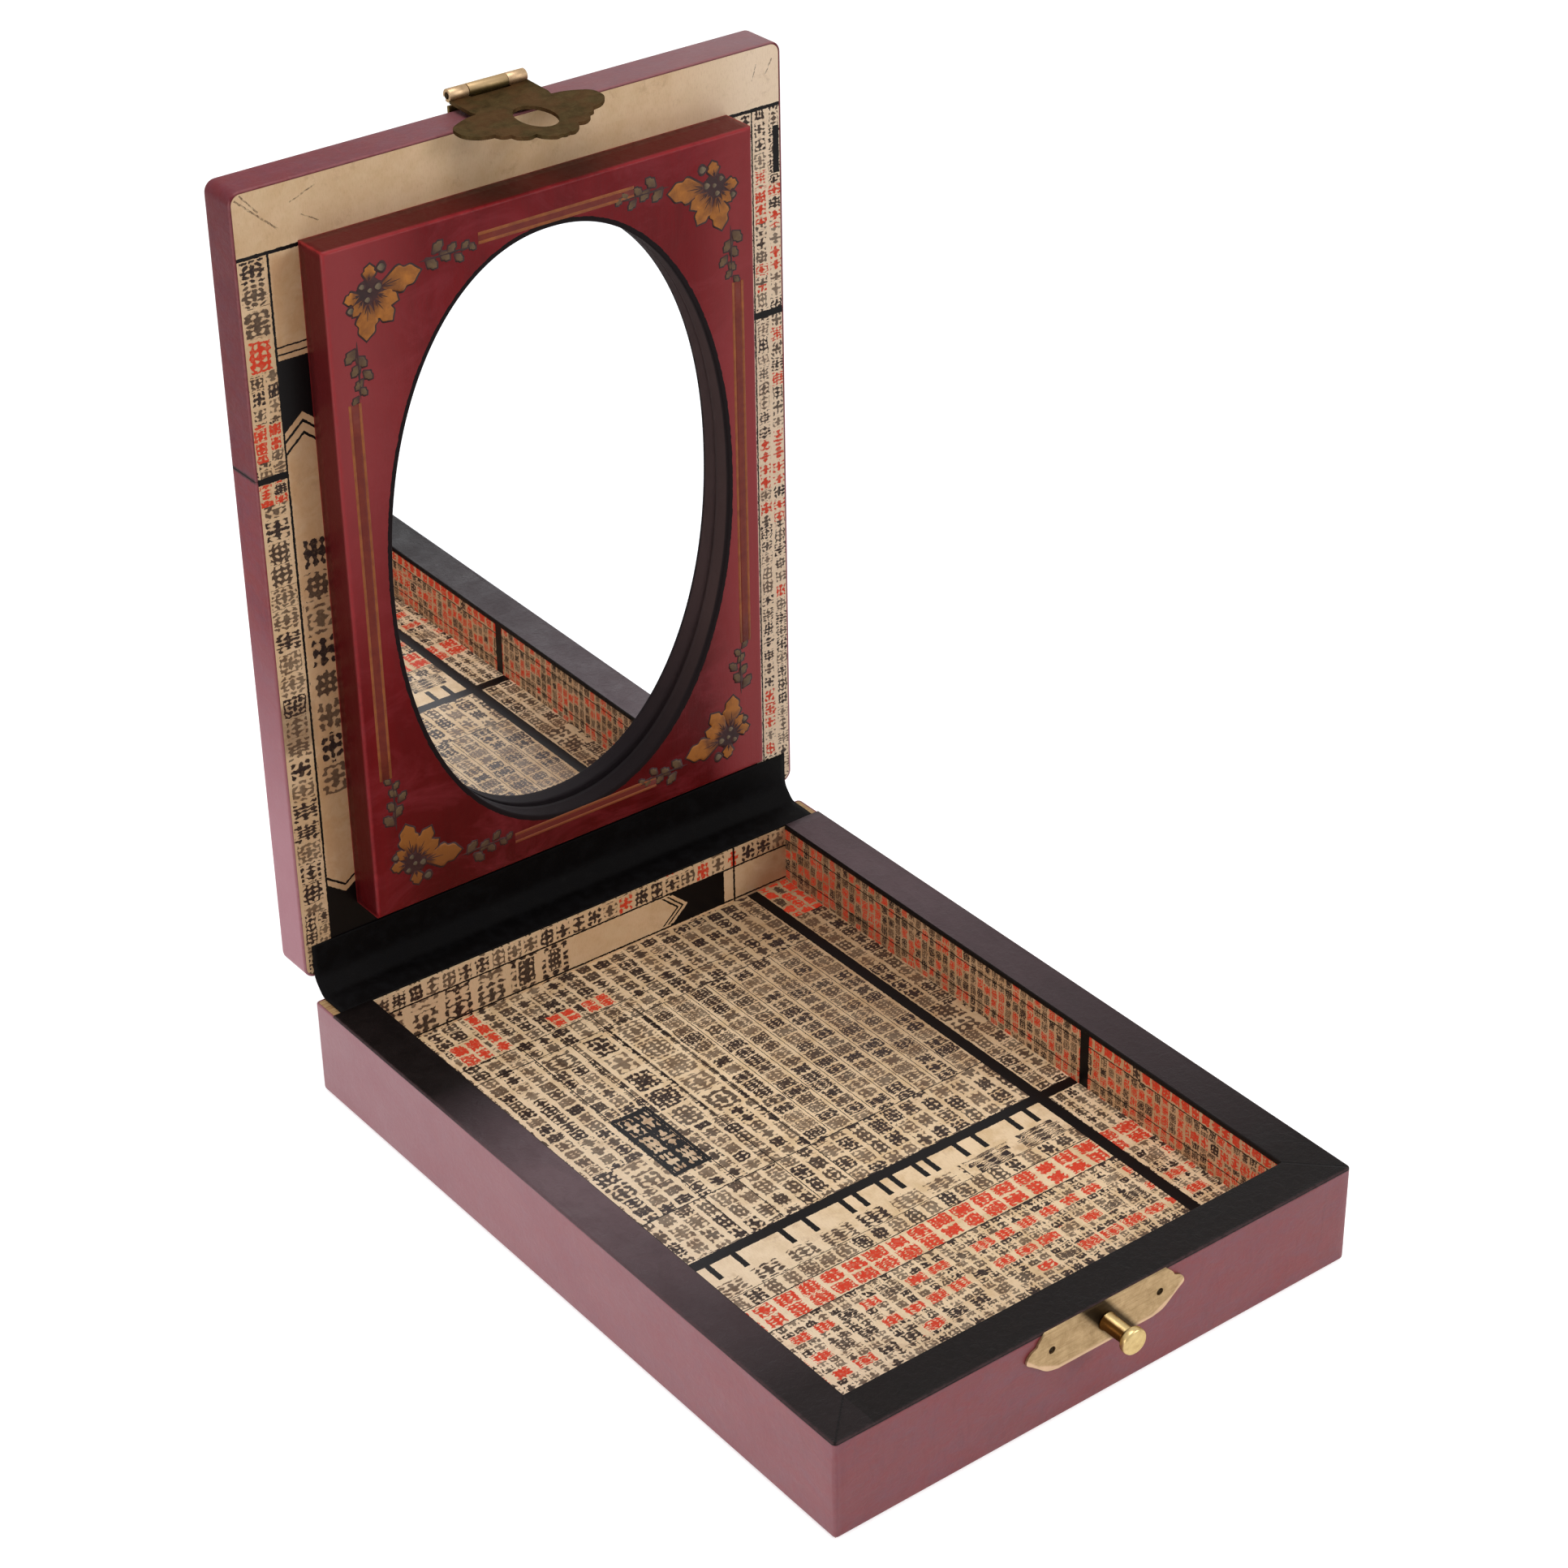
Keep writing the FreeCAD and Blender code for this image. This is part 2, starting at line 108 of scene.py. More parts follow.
# Sizes of the finish
MIRROR_LEAN = math.tan(math.radians(0.6))
HASP_SLOPE = math.radians(2.0)
THREAD_PAIR = 0.45
ZERO = (0.0, 0.0, 0.0)
HALF = (0.5, 0.5, 0.5)
ALL_CORNERS = ((1, 1), (-1, 1), (1, -1), (-1, -1))
ABOVE_AND_BELOW = ((1, 1), (1, -1))
LEFT_AND_RIGHT = ((1, 1), (-1, 1))


# ---- Colours and numbers


def paint(red, green, blue):
    """Scene-linear colour from the 0 to 255 values that a screen shows."""
    share = np.array([red, green, blue]) / 255
    linear = np.where(share <= 0.04045, share / 12.92, ((share + 0.055) / 1.055) ** 2.4)
    return (*[float(v) for v in linear], 1.0)


def colour(name, description, *screen):
    """Colour property with a screen colour as its default."""
    return FloatVectorProperty(
        name=name, description=description, subtype="COLOR", size=4, min=0, max=1, default=paint(*screen)
    )


def number(name, description, default, low, high):
    """Number property with its limits."""
    return FloatProperty(name=name, description=description, default=default, min=low, max=high)


class CaseFinish(bpy.types.PropertyGroup):
    """Colours and sizes of the finishes that a user would change."""

    covering: colour("Covering", "Burgundy of the case and lid covering", 124, 46, 54)
    covering_pale: colour("Covering haze", "Greyed patches in the covering", 134, 82, 88)
    covering_red: colour("Covering flecks", "Redder clouds in the covering", 142, 50, 52)
    rim: colour("Rim", "Black covering of the rim", 17, 13, 12)
    cloth: colour("Hinge cloth", "Black book cloth over the hinge", 11, 9, 9)
    tan: colour("Paper", "Ground of the printed paper", 234, 198, 160)
    tan_dark: colour("Paper stain", "Darker clouds in the paper", 196, 152, 100)
    ink: colour("Black ink", "Black block-print ink", 42, 30, 30)
    red_ink: colour("Red ink", "Red block-print ink", 221, 66, 42)
    lacquer: colour("Lacquer", "Crimson lacquer of the mirror frame", 124, 20, 26)
    lacquer_dark: colour("Lacquer shade", "Darker brushing in the lacquer", 88, 10, 14)
    gold: colour("Gold paint", "Gold of the flowers", 186, 116, 46)
    brass: colour("Brass", "Brass of the catch", 190, 164, 126)
    bronze: colour("Dark brass", "Darkened brass of the hasp", 84, 68, 42)
    print_wander: number("Print wander", "How far the ink edges wander, in mm", 0.26, 0, 1)
    mottle_size: number("Mottle size", "Size of the covering's clouds, in mm", 14.0, 1, 60)
    oval_fullness: number("Oval fullness", "2 is an ellipse, more is fuller at the diagonals", 2.12, 2, 4)


def values():
    """The finish values of the scene."""
    return bpy.context.scene.case_finish


# ---- Meshes from number grids


def on_lid(points):
    """(x, up, out) of the open lid to the row frame: y = lid plane - out, z = lid foot + up."""
    points = np.asarray(points, float)
    return np.stack([points[..., 0], LID_PLANE - points[..., 2], LID_FOOT + points[..., 1]], -1)


def quads_between(count_u, count_v, wrap_u=False, wrap_v=False):
    """Corner numbers of the quads of a count_u by count_v grid, row after row."""
    i = np.arange(count_u if wrap_u else count_u - 1)[:, None]
    j = np.arange(count_v if wrap_v else count_v - 1)[None, :]
    here, below = i * count_v, ((i + 1) % count_u) * count_v
    after = (j + 1) % count_v
    return np.stack([here + j, below + j, below + after, here + after], -1).reshape(-1, 4)


@contextmanager
def reshaping(mesh):
    """The mesh opened for changes, which are written back at the end."""
    work = bmesh.new()
    work.from_mesh(mesh)
    yield work
    work.to_mesh(mesh)
    work.free()


def tidy_mesh(mesh, reach=2e-6):
    """Merges doubles, drops empty faces and turns every face outwards."""
    with reshaping(mesh) as work:
        bmesh.ops.remove_doubles(work, verts=work.verts, dist=reach)
        bmesh.ops.dissolve_degenerate(work, edges=work.edges, dist=reach / 2)
        bmesh.ops.recalc_face_normals(work, faces=work.faces)


def add_piece(name, points, faces, along=None, smooth=True):
    """Mesh object from points in millimetres and lists of corner numbers; along is one number for each point."""
    mesh = bpy.data.meshes.new(name)
    points = np.asarray(points, float).reshape(-1, 3) * MM
    mesh.from_pydata(points, [], [list(map(int, f)) for f in faces])
    if along is not None:
        layer = mesh.attributes.new("along", "FLOAT", "POINT")
        layer.data.foreach_set("value", np.asarray(along, np.float32).ravel())
    piece = bpy.data.objects.new(name, mesh)
    bpy.context.scene.collection.objects.link(piece)
    tidy_mesh(mesh)
    if smooth:
        mesh.shade_smooth()
    else:
        mesh.shade_flat()
    return piece


def rounded_outline(half_x, half_y, radius, inset=0.0, arc=8, straight=40):
    """Rounded rectangle about the origin, moved inwards by inset: quarter circles joined by straight runs.

    It runs counter-clockwise, and its count of points doesn't depend on the sizes, so that outlines pair up.
    """
    radius = max(radius - inset, 1e-4)
    across, along = half_x - inset - radius, half_y - inset - radius
    turn = np.linspace(0, np.pi / 2, arc + 1)
    run = np.linspace(0, 1, straight + 1)[1:-1, None]
    arcs = []
    for x, y, start in ((across, -along, -0.5), (across, along, 0.0), (-across, along, 0.5), (-across, -along, 1.0)):
        angle = turn + start * np.pi
        arcs.append(np.stack([x + radius * np.cos(angle), y + radius * np.sin(angle)], -1))
    parts = []
    for here, after in zip(arcs, arcs[1:] + arcs[:1]):
        parts += [here, here[-1] + (after[0] - here[-1]) * run]
    return np.concatenate(parts)


def lift(outline, height, rise=0.0):
    """Flat outline to 3-D points at one height, moved by rise along its second axis."""
    return np.column_stack([outline[:, 0], outline[:, 1] + rise, np.full(len(outline), height)])


def stacked_rings(rings, first_cap=False, last_cap=False, loop=False):
    """Rings of equal count joined by quads; a cap closes the first or last ring with one face."""
    count = len(rings[0])
    faces = quads_between(len(rings), count, wrap_u=loop, wrap_v=True).tolist()
    if first_cap:
        faces.append(list(range(count)))
    if last_cap:
        start = (len(rings) - 1) * count
        faces.append(list(range(start, start + count)))
    return np.concatenate(rings), faces


def quarter(radius, steps=5):
    """Quarter round as (inset, drop) pairs: inset = r(1 - cos t) and drop = r(1 - sin t), t from 0 to 90 degrees."""
    t = np.linspace(0, np.pi / 2, steps + 1)
    return np.stack([radius * (1 - np.cos(t)), radius * (1 - np.sin(t))], -1)


def circle(count):
    """Directions all round as an array of (cosine, sine)."""
    angle = np.linspace(0, 2 * np.pi, count, endpoint=False)
    return np.column_stack([np.cos(angle), np.sin(angle)])


def turned_from_wall(profile, x, count):
    """Turned fitting of the front wall: (radius, out) pairs carried round an axis that points out of the wall."""
    profile = np.asarray(profile, float)
    ring = circle(count) @ [[-1, 0, 0], [0, 0, 1]]
    return (x, -HALF_DEPTH, CATCH_HEIGHT) + profile[:, None, :1] * ring + profile[:, None, 1:] * (0, -1, 0)


def bevel(piece, width, segments=2, angle=40):
    """Live Bevel modifier on edges sharper than angle."""
    modifier = piece.modifiers.new("Soft edges", "BEVEL")
    modifier.width = width * MM
    modifier.segments = segments
    modifier.limit_method = "ANGLE"
    modifier.angle_limit = math.radians(angle)
    modifier.harden_normals = True
    return piece


def dress(mesh, material):
    """Gives a mesh one material."""
    mesh.materials.clear()
    mesh.materials.append(material)


def finish(piece, body, material, node=None):
    """Gives a new piece its material, body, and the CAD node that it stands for."""
    dress(piece.data, material)
    if body:
        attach(piece, body)
    if node:
        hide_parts(node)
    return piece


def softened_nodes(body, material, slot, width, segments, **nodes):
    """Merged copies of CAD nodes whose edges get a small bevel; each stands for its node."""
    for name, node in nodes.items():
        piece = bpy.data.objects.new(name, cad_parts[node].data.copy())
        bpy.context.scene.collection.objects.link(piece)
        tidy_mesh(piece.data, 1e-6)
        with reshaping(piece.data) as work:
            flat = [e for e in work.edges if len(e.link_faces) == 2 and e.calc_face_angle() < 0.01]
            bmesh.ops.dissolve_edges(work, edges=flat, use_verts=False)
        piece.data.shade_smooth()
        finish(bevel(piece, width, segments), body, material, node)


# ---- Node trees


class Value:
    """A socket to reckon with: each sign adds one node, of vector math where a side has three parts."""

    def __init__(self, wires, socket):
        self.wires, self.socket = wires, socket

    def __abs__(self):
        return self.wires.math("ABSOLUTE", self)

    def clamped(self):
        """The same sum, kept from 0 to 1."""
        self.socket.node.use_clamp = True
        return self

    def span(self, low, high, to_low=0.0, to_high=1.0):
        """Low and high are mapped to two other numbers, which aren't passed."""
        return self.wires.add("ShaderNodeMapRange", {0: self, 1: low, 2: high, 3: to_low, 4: to_high}, clamp=True)

    def noise(self, scale, detail=3.0, roughness=0.5, distortion=0.0, out="Fac"):
        """Noise at these places; scale is in cells for each unit."""
        inputs = {"Vector": self, "Scale": scale, "Detail": detail, "Roughness": roughness, "Distortion": distortion}
        return self.wires.add("ShaderNodeTexNoise", inputs, out)

    def split(self):
        """The three parts of a vector."""
        return list(self.wires.add("ShaderNodeSeparateXYZ", {0: self}, None).values())

    def bump(self, strength, distance_mm):
        """Normal bent by this height."""
        return self.wires.add("ShaderNodeBump", {"Height": self, "Strength": strength, "Distance": distance_mm * MM})

    def clouds(self, size, stretch=(1, 1, 1)):
        """Clouds, flecks and pores at these places."""
        return self.wires.group(cloud_group(), Point=self, Size=size, Stretch=stretch)

    def wear(self, middle, half, reach, amount):
        """Rubbed edges of the block with this middle and these half sizes."""
        group = edge_wear_group()
        return self.wires.group(group, Point=self, Middle=middle, Half_size=half, Reach=reach, Amount=amount)["Wear"]


SIGNS = dict(add="ADD", sub="SUBTRACT", mul="MULTIPLY", truediv="DIVIDE", gt="GREATER_THAN", lt="LESS_THAN")
for sign, operation in SIGNS.items():
    setattr(Value, f"__{sign}__", lambda self, other, name=operation: self.wires.math(name, self, other))
    if sign not in ("gt", "lt"):
        setattr(Value, f"__r{sign}__", lambda self, other, name=operation: self.wires.math(name, other, self))


class Wires:
    """Adds nodes to one tree and joins them; end holds the sockets of what is made."""

    def __init__(self, tree, made=None, end=None):
        self.tree, self.made, self.end = tree, made, end

    def add(self, kind, inputs=(), out=0, **settings):
        """Adds a node, sets and links its inputs, and gives one of its outputs, or all by name for None."""
        node = self.tree.nodes.new(kind)
        for key, value in settings.items():
            setattr(node, key, value)
        for key, value in dict(inputs).items():
            self.put(node.inputs[key], value)
        if out is None:
            return {socket.name: Value(self, socket) for socket in node.outputs}
        return Value(self, node.outputs[out])

    def put(self, socket, value):
        """Links a value or sets plain numbers; three numbers for a colour are a screen's."""
        if isinstance(value, Value):
            self.tree.links.new(value.socket, socket)
        elif socket.type == "RGBA":
            socket.default_value = paint(*value) if len(value) == 3 else tuple(value)
        else:
            socket.default_value = value

    def math(self, operation, *sides):
        """Math node, or vector math where a side has three parts."""
        wide = [isinstance(s, tuple) or isinstance(s, Value) and s.socket.type != "VALUE" for s in sides]
        if operation == "MULTIPLY" and wide == [True, False]:
            return self.add("ShaderNodeVectorMath", {0: sides[0], "Scale": sides[1]}, operation="SCALE")
        kind = "ShaderNodeVectorMath" if any(wide) else "ShaderNodeMath"
        return self.add(kind, enumerate(sides), operation=operation)

    def most(self, a, b):
        """The larger of two numbers."""
        return self.math("MAXIMUM", a, b)

    def mix(self, amount, a, b, kind="FLOAT", mode="MIX"):
        """Number, VECTOR or RGBA colour between a and b."""
        first, out = {"FLOAT": (2, 0), "VECTOR": (4, 1), "RGBA": (6, 2)}[kind]
        return self.add("ShaderNodeMix", {0: amount, first: a, first + 1: b}, out, data_type=kind, blend_type=mode)

    def coats(self, base, *layers):
        """A colour with others laid over it; each layer is (amount, colour)."""
        for amount, tone in layers:
            base = self.mix(amount, base, tone, "RGBA")
        return base

    def join(self, x=0.0, y=0.0, z=0.0):
        """Vector of three parts."""
        return self.add("ShaderNodeCombineXYZ", {0: x, 1: y, 2: z})

    def attribute(self, name):
        """Number that is stored with the mesh's points."""
        return self.add("ShaderNodeAttribute", out="Fac", attribute_name=name)

    def group(self, tree, **inputs):
        """Node group and its inputs; an underscore stands for a space."""
        named = {key.replace("_", " "): value for key, value in inputs.items()}
        return self.add("ShaderNodeGroup", named, None, node_tree=tree)

    def give(self, **results):
        """Puts results into the end sockets and gives what is made."""
        for key, value in results.items():
            self.put(self.end[key.replace("_", " ")], value)
        return self.made


def new_group(name, inputs, *outputs):
    """Empty node group: inputs are names with their defaults, outputs are numbers, and Color is a colour."""
    tree = bpy.data.node_groups.new(name, "ShaderNodeTree")
    for label, default in inputs.items():
        kind = {3: "Vector", 4: "Color"}[len(default)] if isinstance(default, tuple) else "Float"
        socket = tree.interface.new_socket(name=label, in_out="INPUT", socket_type="NodeSocket" + kind)
        socket.default_value = default
    for label in outputs:
        kind = "Color" if label == "Color" else "Float"
        tree.interface.new_socket(name=label, in_out="OUTPUT", socket_type="NodeSocket" + kind)
    w = Wires(tree, tree, tree.nodes.new("NodeGroupOutput").inputs)
    return w, w.add("NodeGroupInput", out=None)


def new_material(name, **plain):
    """Principled material with plain values on the shader's own sockets, and object coordinates in millimetres."""
    material = bpy.data.materials.new(name)
    material.use_nodes = True
    w = Wires(material.node_tree, material, material.node_tree.nodes["Principled BSDF"].inputs)
    w.give(**plain)
    return w, w.add("ShaderNodeTexCoord", out="Object") * 1000.0


def cached(build):
    """A group or material is built once and found again by what it was asked for."""
    made = {}

    def get(*args):
        if args not in made:
            made[args] = build(*args)
        return made[args]

    return get


@cached
def rectangle_group():
    """1 inside a rectangle of the plane, 0 outside: u and v each lie between a low and a high number."""
    w, given = new_group("Rectangle", {"Point": ZERO, "Low": ZERO, "High": (1, 1, 0)}, "Inside")
    (u, v, _), (u0, v0, _), (u1, v1, _) = (given[name].split() for name in ("Point", "Low", "High"))
    return w.give(Inside=(u > u0) * (u < u1) * ((v > v0) * (v < v1)))


@cached
def lattice_group():
    """Stamped ornaments in the cells of a grid, each the same to both sides and top to bottom.

    Each column of cells slides along v by its own share of Slide. In each cell, a and b are the distances from its
    middle, 0 to 1 at its edges. Waves of a, b and a + b, whose counts are drawn for the cell and multiplied by
    Detail, are added up, and ink lies where the sum is above a limit, as on a carved block. Weight lowers the
    limit, which widens the strokes, and the ornaments are fuller in the middle. Bleed is a soft edge round the ink,
    Chance and Tone are numbers from 0 to 1 drawn for the cell.
    """
    sockets = {"Point": ZERO, "Cell": (3, 3, 0), "Seed": ZERO, "Weight": 0.5, "Detail": 1.0, "Slide": 0.0}
    w, given = new_group("Lattice cells", sockets, "Ink", "Bleed", "Chance", "Tone")
    seed = given["Seed"] * 3.7

    def drawn(place):
        return w.add("ShaderNodeTexWhiteNoise", {"Vector": place + seed}, None, noise_dimensions="3D")

    place = given["Point"] / given["Cell"]
    column = w.math("FLOOR", place) * (1.0, 0.0, 0.0)
    place = place + w.join(0.0, drawn(column)["Value"] * given["Slide"], 0.0)
    cell = w.math("FLOOR", place)
    a, b, _ = (abs(place - cell - HALF) * 2.0).split()
    dice = drawn(cell)
    one, two, three = list(w.add("ShaderNodeSeparateColor", {0: dice["Color"]}, None).values())[:3]
    four, weight = dice["Value"], given["Weight"]

    def wave(distance, count, few, many):
        turns = count * (math.pi * (many - few)) + math.pi * few
        return w.math("COSINE", distance * turns * given["Detail"])

    total = wave(a, one, 1.8, 3.6) + wave(b, two, 2.4, 4.4) - wave(a + b, three, 1.2, 3.0) * 0.9
    total = total + ((a * a + b * b) * -0.55 + 0.3) + (four * 0.5 - 0.25)
    over = total + (weight * 3.2 - 1.15)
    stamp = (a < two * 0.22 + 0.66) * (b < three * 0.14 + 0.82) * (weight > 0.01)
    return w.give(
        Ink=(over > 0.0) * stamp,
        Bleed=over.span(-1.2, 0.2) * stamp,
        Chance=w.math("FRACT", four * 7.3 + three),
        Tone=w.math("FRACT", four * 5.1 + one),
    )


@cached
def chevron_group():
    """Band that follows a point: 1 where along - slope * |across| lies between two numbers, within a half width."""
    sockets = {"Along": 0.0, "Across": 0.0, "Slope": 1.0, "From": 0.0, "To": 1.0, "Half width": 4.0}
    w, given = new_group("Chevron", sockets, "Inside")
    side = abs(given["Across"])
    bent = given["Along"] - side * given["Slope"]
    return w.give(Inside=(bent > given["From"]) * (bent < given["To"]) * (side < given["Half width"]))


@cached
def cloud_group():
    """Soft clouds, fine flecks and pores from three noises of falling size."""
    sockets = {"Point": ZERO, "Size": 10.0, "Stretch": (1, 1, 1)}
    w, given = new_group("Clouds", sockets, "Clouds", "Flecks", "Pores")
    point = given["Point"] * given["Stretch"]
    return w.give(
        Clouds=point.noise(1.0 / given["Size"], 4, 0.62, 0.4).span(0.32, 0.68),
        Flecks=point.noise(5.0 / given["Size"], 4, 0.65, 0.8).span(0.42, 0.68),
        Pores=given["Point"].noise(1.3, 3, 0.6, 1.5),
    )


@cached
def edge_wear_group():
    """Rubbed edges of a block: 1 near a place where two of its outer faces meet, broken up by noise.

    The gap to each pair of faces is half size - |point - middle|; the second smallest gap is small only at an edge.
    """
    sockets = {"Point": ZERO, "Middle": ZERO, "Half size": (1, 1, 1), "Reach": 1.0, "Amount": 0.5}
    w, given = new_group("Edge wear", sockets, "Wear")
    x, y, z = (given["Half size"] - abs(given["Point"] - given["Middle"])).split()
    second = w.math("MINIMUM", w.math("MINIMUM", w.most(x, y), w.most(y, z)), w.most(x, z))
    near = (1.0 - second / given["Reach"]).clamped()
    broken = (near + given["Point"].noise(0.6, 5, 0.7) * 1.2).span(1.0, 1.5)
    return w.give(Wear=(broken * near * given["Amount"]).clamped())


@cached
def patina_group():
    """Metal finish: tarnish clouds, fine rubbing lines and pits."""
    sockets = {"Point": ZERO, "Bright": (1, 1, 1, 1), "Dull": (0.2, 0.2, 0.2, 1), "Tarnish": 0.4, "Roughness": 0.3}
    w, given = new_group("Patina", sockets, "Color", "Roughness", "Height")
    point = given["Point"]
    pits = point.noise(3.0, 3, 0.7)
    lines = (point * (0.5, 9.0, 9.0)).noise(1.0, 2, 0.5)
    cover = (point.noise(0.35, 5, 0.65, 0.5) + pits * 0.25).span(0.45, 0.85)
    cover = ((cover + 0.35) * given["Tarnish"]).clamped()
    return w.give(
        Color=w.coats(given["Bright"], (cover, given["Dull"])),
        Roughness=given["Roughness"] + (cover + pits) * 0.12 + lines * 0.08,
        Height=pits * 0.6 + lines * 0.4,
    )


@cached
def covering_material(part):
    """Mottled satin covering: violet haze, redder clouds and a brushed grain; the lid's upper sheet is darkened as
    painted shade.

    The sides carry a painted reflection, lighter and greyer: on the base growing along Y towards the hinge, and on
    the lid growing downwards, most on its sides. The lid's sides have painted shade high up, its top edge a painted
    light growing to the right, and the butt seam of its two sheets is dark.
    """
    f = values()
    tones = {"base": (0.98, 0.7, 0.35, 0.2), "lower": (0.96, 0.4, 0.1, 0.05), "upper": (0.76, 0.3, 0.1, 0.05)}
    shade, haze, specular, coat = tones[part]
    w, point = new_material("covering_" + part, Coat_Weight=coat, Coat_Roughness=0.4, Specular_IOR_Level=specular)
    x, y, z = point.split()
    large = point.clouds(f.mottle_size * 3.0, (1, 1, 1.8))
    clouds = point.clouds(f.mottle_size, (1, 1, 1.4))
    fine = point.clouds(4.0)
    brushed = (point * (0.31, 0.31, 0.11)).noise(1.0, 4, 0.6, 1.2)
    side = abs(x).span(73.0, 74.8)
    base = w.coats(
        f.covering,
        (clouds["Clouds"] * haze, f.covering_pale),
        (large["Clouds"] * 0.65, f.covering_red),
        (large["Flecks"] * 0.42, (116, 74, 94)),
        (clouds["Flecks"] * 0.3, (150, 50, 58)),
        (fine["Clouds"] * 0.16, f.covering_pale),
        (brushed.span(0.5, 0.8, 0.0, 0.3), (100, 36, 46)),
    )
    # shade multiplies the colour: the upper lid sheet's low value is painted shade, the others are near 1
    base = w.mix(1.0, base, (shade, shade * 0.86, shade * 0.88, 1.0), "RGBA", "MULTIPLY")
    if part == "base":
        middle, half = (0, 0, 13.65), (HALF_WIDTH, HALF_DEPTH, 13.35)
        # painted reflection: the base's sides lighter and greyer towards the hinge
        base = w.coats(base, (side * y.span(-100, 100, 0.2, 0.8), (166, 114, 122)))
    else:
        middle, half = (0, 111.8, 133.55), (HALF_WIDTH, 5.75, 102.5)
        seam = abs(z - (LID_FOOT + COVERING_SEAM)) + (point.noise(0.8, 3, 0.6) * 0.7 - 0.35)
        base = w.coats(
            base,
            # painted reflection: the lid lighter and greyer towards its foot, most on its sides
            ((side * 0.65 + 0.35) * z.span(70, 134, 0.95, 0.0), (188, 134, 144)),
            # painted light on the lid's top edge, growing to the right
            (z.span(235.4, 236.0) * x.span(-60, 75, 0.0, 0.4), (168, 148, 150)),
            # painted shade high on the lid's sides
            (side * z.span(150, 230, 0.0, 0.4), (84, 26, 32)),
            (seam.span(0.3, 0.75, 0.92, 0.0), (22, 12, 14)),
        )
    return w.give(
        Base_Color=w.coats(base, (point.wear(middle, half, 1.3, 0.6), (160, 104, 106))),
        Roughness=clouds["Clouds"] * 0.12 + 0.38 + fine["Flecks"] * 0.08,
        Normal=(fine["Pores"] * 0.5 + clouds["Flecks"] + brushed).bump(0.3, 0.12),
    )


@cached
def rim_material():
    """Black satin covering of the rim, with a painted grey sheen along the side rims, with folds at the mitred front
    corners.

    A fold lies where |x| + y meets the line from the inner to the outer corner.
    """
    w, point = new_material("rim_black", Specular_IOR_Level=0.09)
    x, y, _ = point.split()
    clouds = point.clouds(9.0)
    # painted sheen: on the left rim a bump round the middle of its length, on the right rim growing towards the back
    left = y.span(-85, 2, 0.06, 1.0) * y.span(10, 52, 1.0, 0.0) * (x < -64.0)
    right = y.span(-90, 62, 0.0, 0.72) * (x > 64.0)
    sheen_breakup = (point * (1.0, 0.4, 1.0)).noise(0.14, 4, 0.6, 0.5)
    fold = abs(abs(x) + y + (HALF_DEPTH - HALF_WIDTH + 0.1))
    fold = (clouds["Pores"] * 0.5 + fold).span(0.35, 0.8, 1.0, 0.0)
    base = w.coats(
        values().rim,
        (clouds["Clouds"] * 0.6, (24, 17, 16)),
        # painted grey sheen on the side rims, broken up by noise
        ((left + right) * sheen_breakup.span(0.3, 0.7, 0.86, 1.1), (106, 87, 91)),
        (clouds["Flecks"] * 0.12, (46, 36, 34)),
        (point.wear((0, 0, 13.5), (HALF_WIDTH, HALF_DEPTH, 13.5), 1.2, 0.5), (96, 72, 74)),
        (fold * 0.7, (6, 5, 5)),
    )
    height = clouds["Pores"] + clouds["Flecks"] - fold * 2.0
    return w.give(Base_Color=base, Roughness=clouds["Clouds"] * 0.14 + 0.36, Normal=height.bump(0.45, 0.12))


@cached
def cloth_material():
    """Black book cloth: a fine plain weave filled with size, so that it shines a little."""
    w, point = new_material("hinge_cloth_black", Specular_IOR_Level=0.05)
    x, y, z = point.split()
    turns = 2 * math.pi / THREAD_PAIR
    weave = w.math("SINE", x * turns) * w.math("SINE", (y + z) * turns)
    worn = point.noise(0.3, 5, 0.6)
    return w.give(
        Base_Color=w.coats(values().cloth, (worn.span(0.45, 0.75), (20, 19, 20))),
        Roughness=worn.span(0.3, 0.7, 0.5, 0.7),
        Normal=weave.bump(0.25, 0.06),
    )


